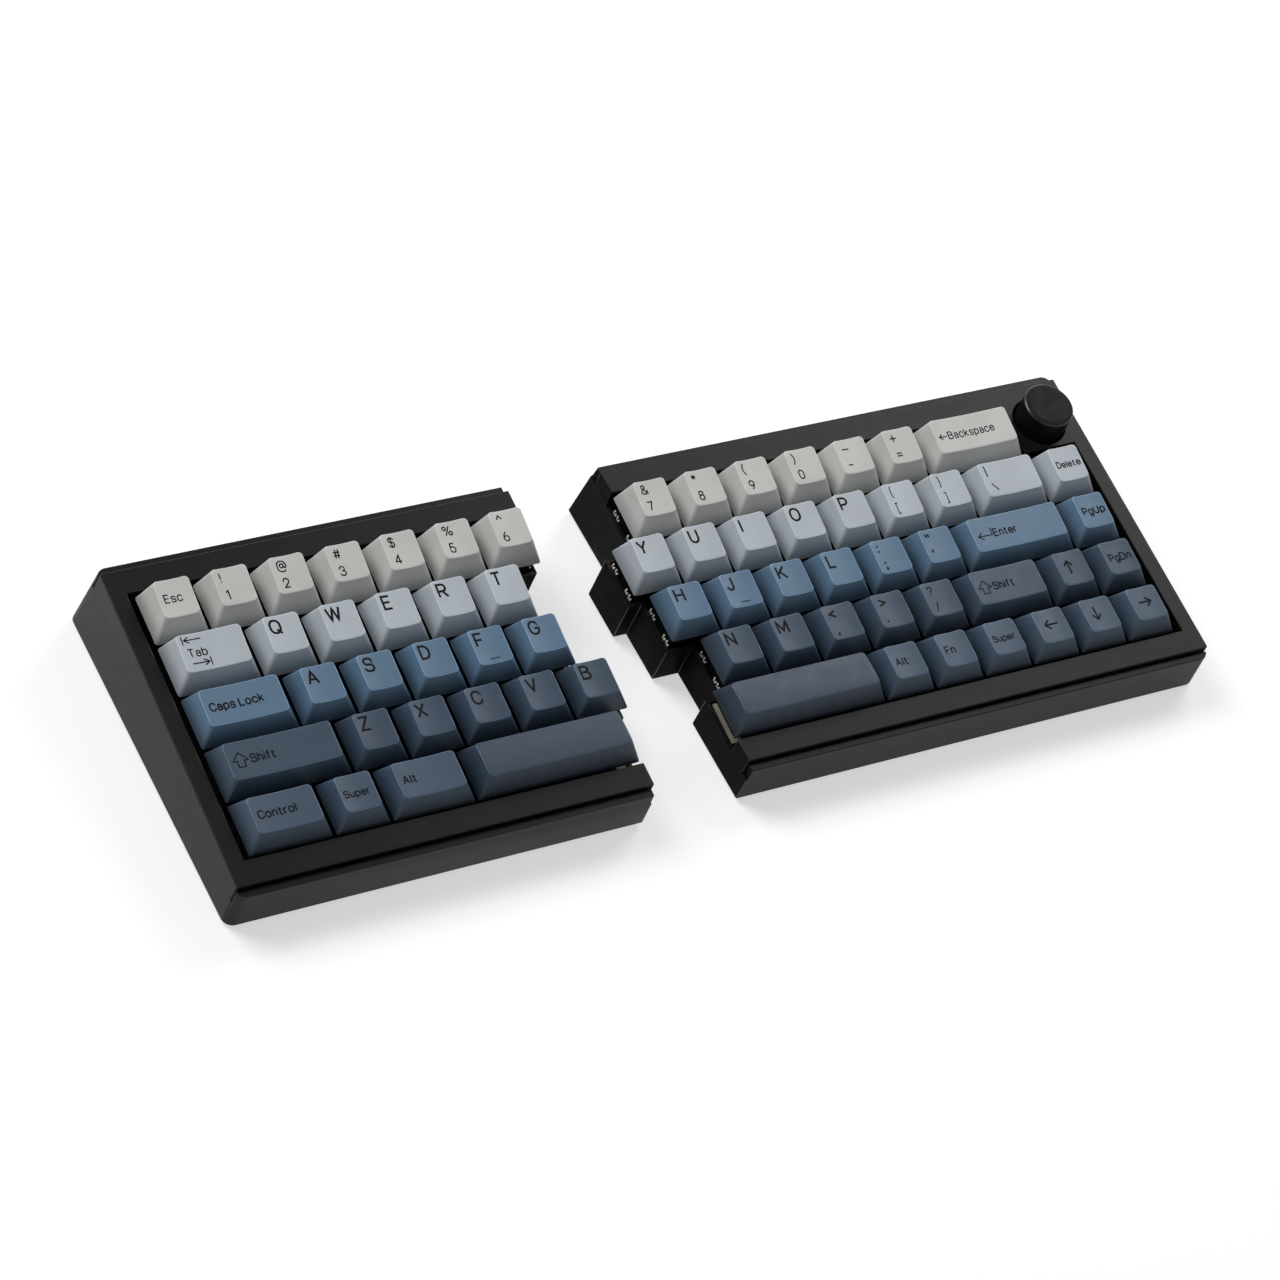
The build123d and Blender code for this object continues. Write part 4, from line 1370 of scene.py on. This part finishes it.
@dataclass(frozen=True)
class Screws:
    """The case screws under one half: flat heads with a hexagon socket."""

    side: Side
    deck: Deck
    head_radius: float = 2.8
    socket_radius: float = 1.35
    face: float = 0.75
    socket_depth: float = 0.8
    head_ease: float = 0.3
    steps: int = 48
    rows: tuple[float, float] = (-53.0, 52.0)
    columns: tuple[float, float, float] = (2.0, 68.0, 126.0)
    right_columns: tuple[float, float, float] = (141.0, 222.0, 300.0)

    def head(self) -> np.ndarray:
        """One head, turned: a round profile whose socket's radius at an angle is that of a
        hexagon, the socket's radius times cos 30 over cos of the angle past the last corner
        less 30 degrees.

        Returns:
            An array of rings by points by x, y, z.
        """
        angles = np.arange(self.steps) * (2 * math.pi / self.steps)
        way = np.stack([np.cos(angles), np.sin(angles)], 1)
        side = math.cos(math.pi / 6) / np.cos(angles % (math.pi / 3) - math.pi / 6)
        socket, head = self.socket_radius * side, np.full(self.steps, self.head_radius)
        levels = (
            (socket, self.face + self.socket_depth),
            (socket, self.face + 0.1),
            (socket * 1.06, self.face),
            (head - self.head_ease, self.face),
            (head, self.face + self.head_ease / 2),
            (head, self.face + 0.9),
        )
        return np.stack([raised(radius[:, None] * way, z) for radius, z in levels])

    def build(self) -> None:
        """Makes the six screws of the half, on the plane of the desk."""
        desk = Deck(np.array([self.deck.origin[0], 0, 0]), 0.0)
        shell, head = Shell(), self.head()
        columns = self.columns if self.side is Side.LEFT else self.right_columns
        for x in columns:
            for y in self.rows:
                shell.add_rings(head + [x, y, 0])
        name = self.side.value
        shell.piece(f"{name}_case_screws", desk, f"{name}_half", (SCREW,))


@dataclass(frozen=True)
class Lamp:
    """A soft lamp: where it stands, how wide it is and its power in watts."""

    name: str
    place: tuple[float, float, float]
    size: float
    power: float


@dataclass
class Studio:
    """A pale floor, soft lamps and the camera at the photograph's angle."""

    eye: tuple[float, float, float] = (-0.600002, -0.626823, 0.946183)
    right: tuple[float, float, float] = (0.86325, -0.43694, 0.25274)
    down: tuple[float, float, float] = (-0.19712, -0.75275, -0.62810)
    ahead: tuple[float, float, float] = (0.46469, 0.49239, -0.73595)
    lens: float = 112.304
    sensor: float = 36.0
    floor_reach: float = 6.0
    floor_gap: float = 0.0002
    floor_greys: Spot = (0.5, 0.6)
    floor_glow: float = 0.55
    daylight: float = 0.24
    zenith: float = 0.05
    sky_range: Spot = (0.1, 0.85)
    lamps: tuple[Lamp, ...] = (
        Lamp("key_lamp", (-1.0, 1.3, 1.7), 1.3, 35.0),
        Lamp("right_lamp", (0.75, 0.45, 0.8), 0.5, 4.4),
    )

    def camera(self) -> None:
        """Stands the camera where the photograph was taken from."""
        lens = bpy.data.cameras.new("camera")
        lens.lens, lens.sensor_width = self.lens, self.sensor
        lens.clip_start, lens.clip_end = 0.05, 40.0
        made = stand("camera", lens)
        axes = Matrix((self.right, -Vector(self.down), -Vector(self.ahead))).transposed()
        made.matrix_world = Matrix.Translation(self.eye) @ axes.to_4x4()
        bpy.context.scene.camera = made

    def seen(self, wiring: Wiring) -> Socket:
        """1 for rays from the camera, from a gloss or through glass, and 0 for other light."""
        rays = wiring.tree.nodes.new("ShaderNodeLightPath").outputs
        total = wiring.math("MAXIMUM", rays["Is Camera Ray"], rays["Is Glossy Ray"])
        return wiring.math("MAXIMUM", total, rays["Is Transmission Ray"])

    def world(self) -> None:
        """Even daylight, and white where it is seen, less towards the zenith."""
        world = bpy.data.worlds.new("studio")
        bpy.context.scene.world = world
        world.use_nodes = True
        nodes, wiring = world.node_tree.nodes, Wiring(world.node_tree)
        way = nodes.new("ShaderNodeSeparateXYZ")
        wiring.feed(way, {0: nodes.new("ShaderNodeTexCoord").outputs["Generated"]})
        sky = wiring.ranged(way.outputs["Z"], 1.0, self.zenith, *self.sky_range)
        level = wiring.ranged(self.seen(wiring), self.daylight, sky)
        nodes["Background"].inputs["Color"].default_value = (1, 1, 1, 1)
        wiring.tree.links.new(level, nodes["Background"].inputs["Strength"])

    def floor(self) -> None:
        """A pale floor that shows white and keeps the keyboard's shadow."""
        reach = self.floor_reach
        mesh = bpy.data.meshes.new("floor")
        ends = [(-reach, -reach), (reach, -reach), (reach, reach), (-reach, reach)]
        mesh.from_pydata([(*end, -self.floor_gap) for end in ends], [], [(0, 1, 2, 3)])
        pale = bpy.data.materials.new("pale_floor")
        pale.use_nodes = True
        wiring = Wiring(pale.node_tree)
        seen = self.seen(wiring)
        wiring.feed(pale.node_tree.nodes["Principled BSDF"], {
            "Base Color": wiring.ranged(seen, *self.floor_greys),
            "Roughness": 0.9,
            "Specular IOR Level": 0.1,
            "Emission Color": (1, 1, 1, 1),
            "Emission Strength": wiring.math("MULTIPLY", seen, self.floor_glow),
        })
        mesh.materials.append(pale)
        stand("floor", mesh)

    def build(self) -> None:
        """Sets up the whole studio."""
        bpy.context.scene.view_settings.view_transform = "Standard"
        self.camera()
        self.world()
        self.floor()
        for lamp in self.lamps:
            light = bpy.data.lights.new(lamp.name, "AREA")
            light.size, light.energy = lamp.size, lamp.power
            made = stand(lamp.name, light)
            made.location = lamp.place
            made.rotation_mode = "QUATERNION"
            made.rotation_quaternion = (-Vector(lamp.place)).to_track_quat("-Z", "Y")
            log.info("%s is lit", lamp.name)


def corners(box: tuple[Vector, Vector]) -> list[list[float]]:
    """A box's two corners as plain lists."""
    return [list(corner) for corner in box]


def main() -> None:
    """Builds the looks round the frame."""
    logging.basicConfig(level=logging.INFO, format="%(message)s")
    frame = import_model()
    decks = read_decks(frame)
    lettering = Lettering()
    for side, deck in decks.items():
        Casework(frame, side, deck).build()
        Keys(side, deck, lettering).build()
        Screws(side, deck).build()
    right = decks[Side.RIGHT]
    Casework(frame, Side.RIGHT, right).dress("knob_encoder", ENCODER)
    Knob(right).build()
    Studio().build()


if __name__ == "__main__":
    main()
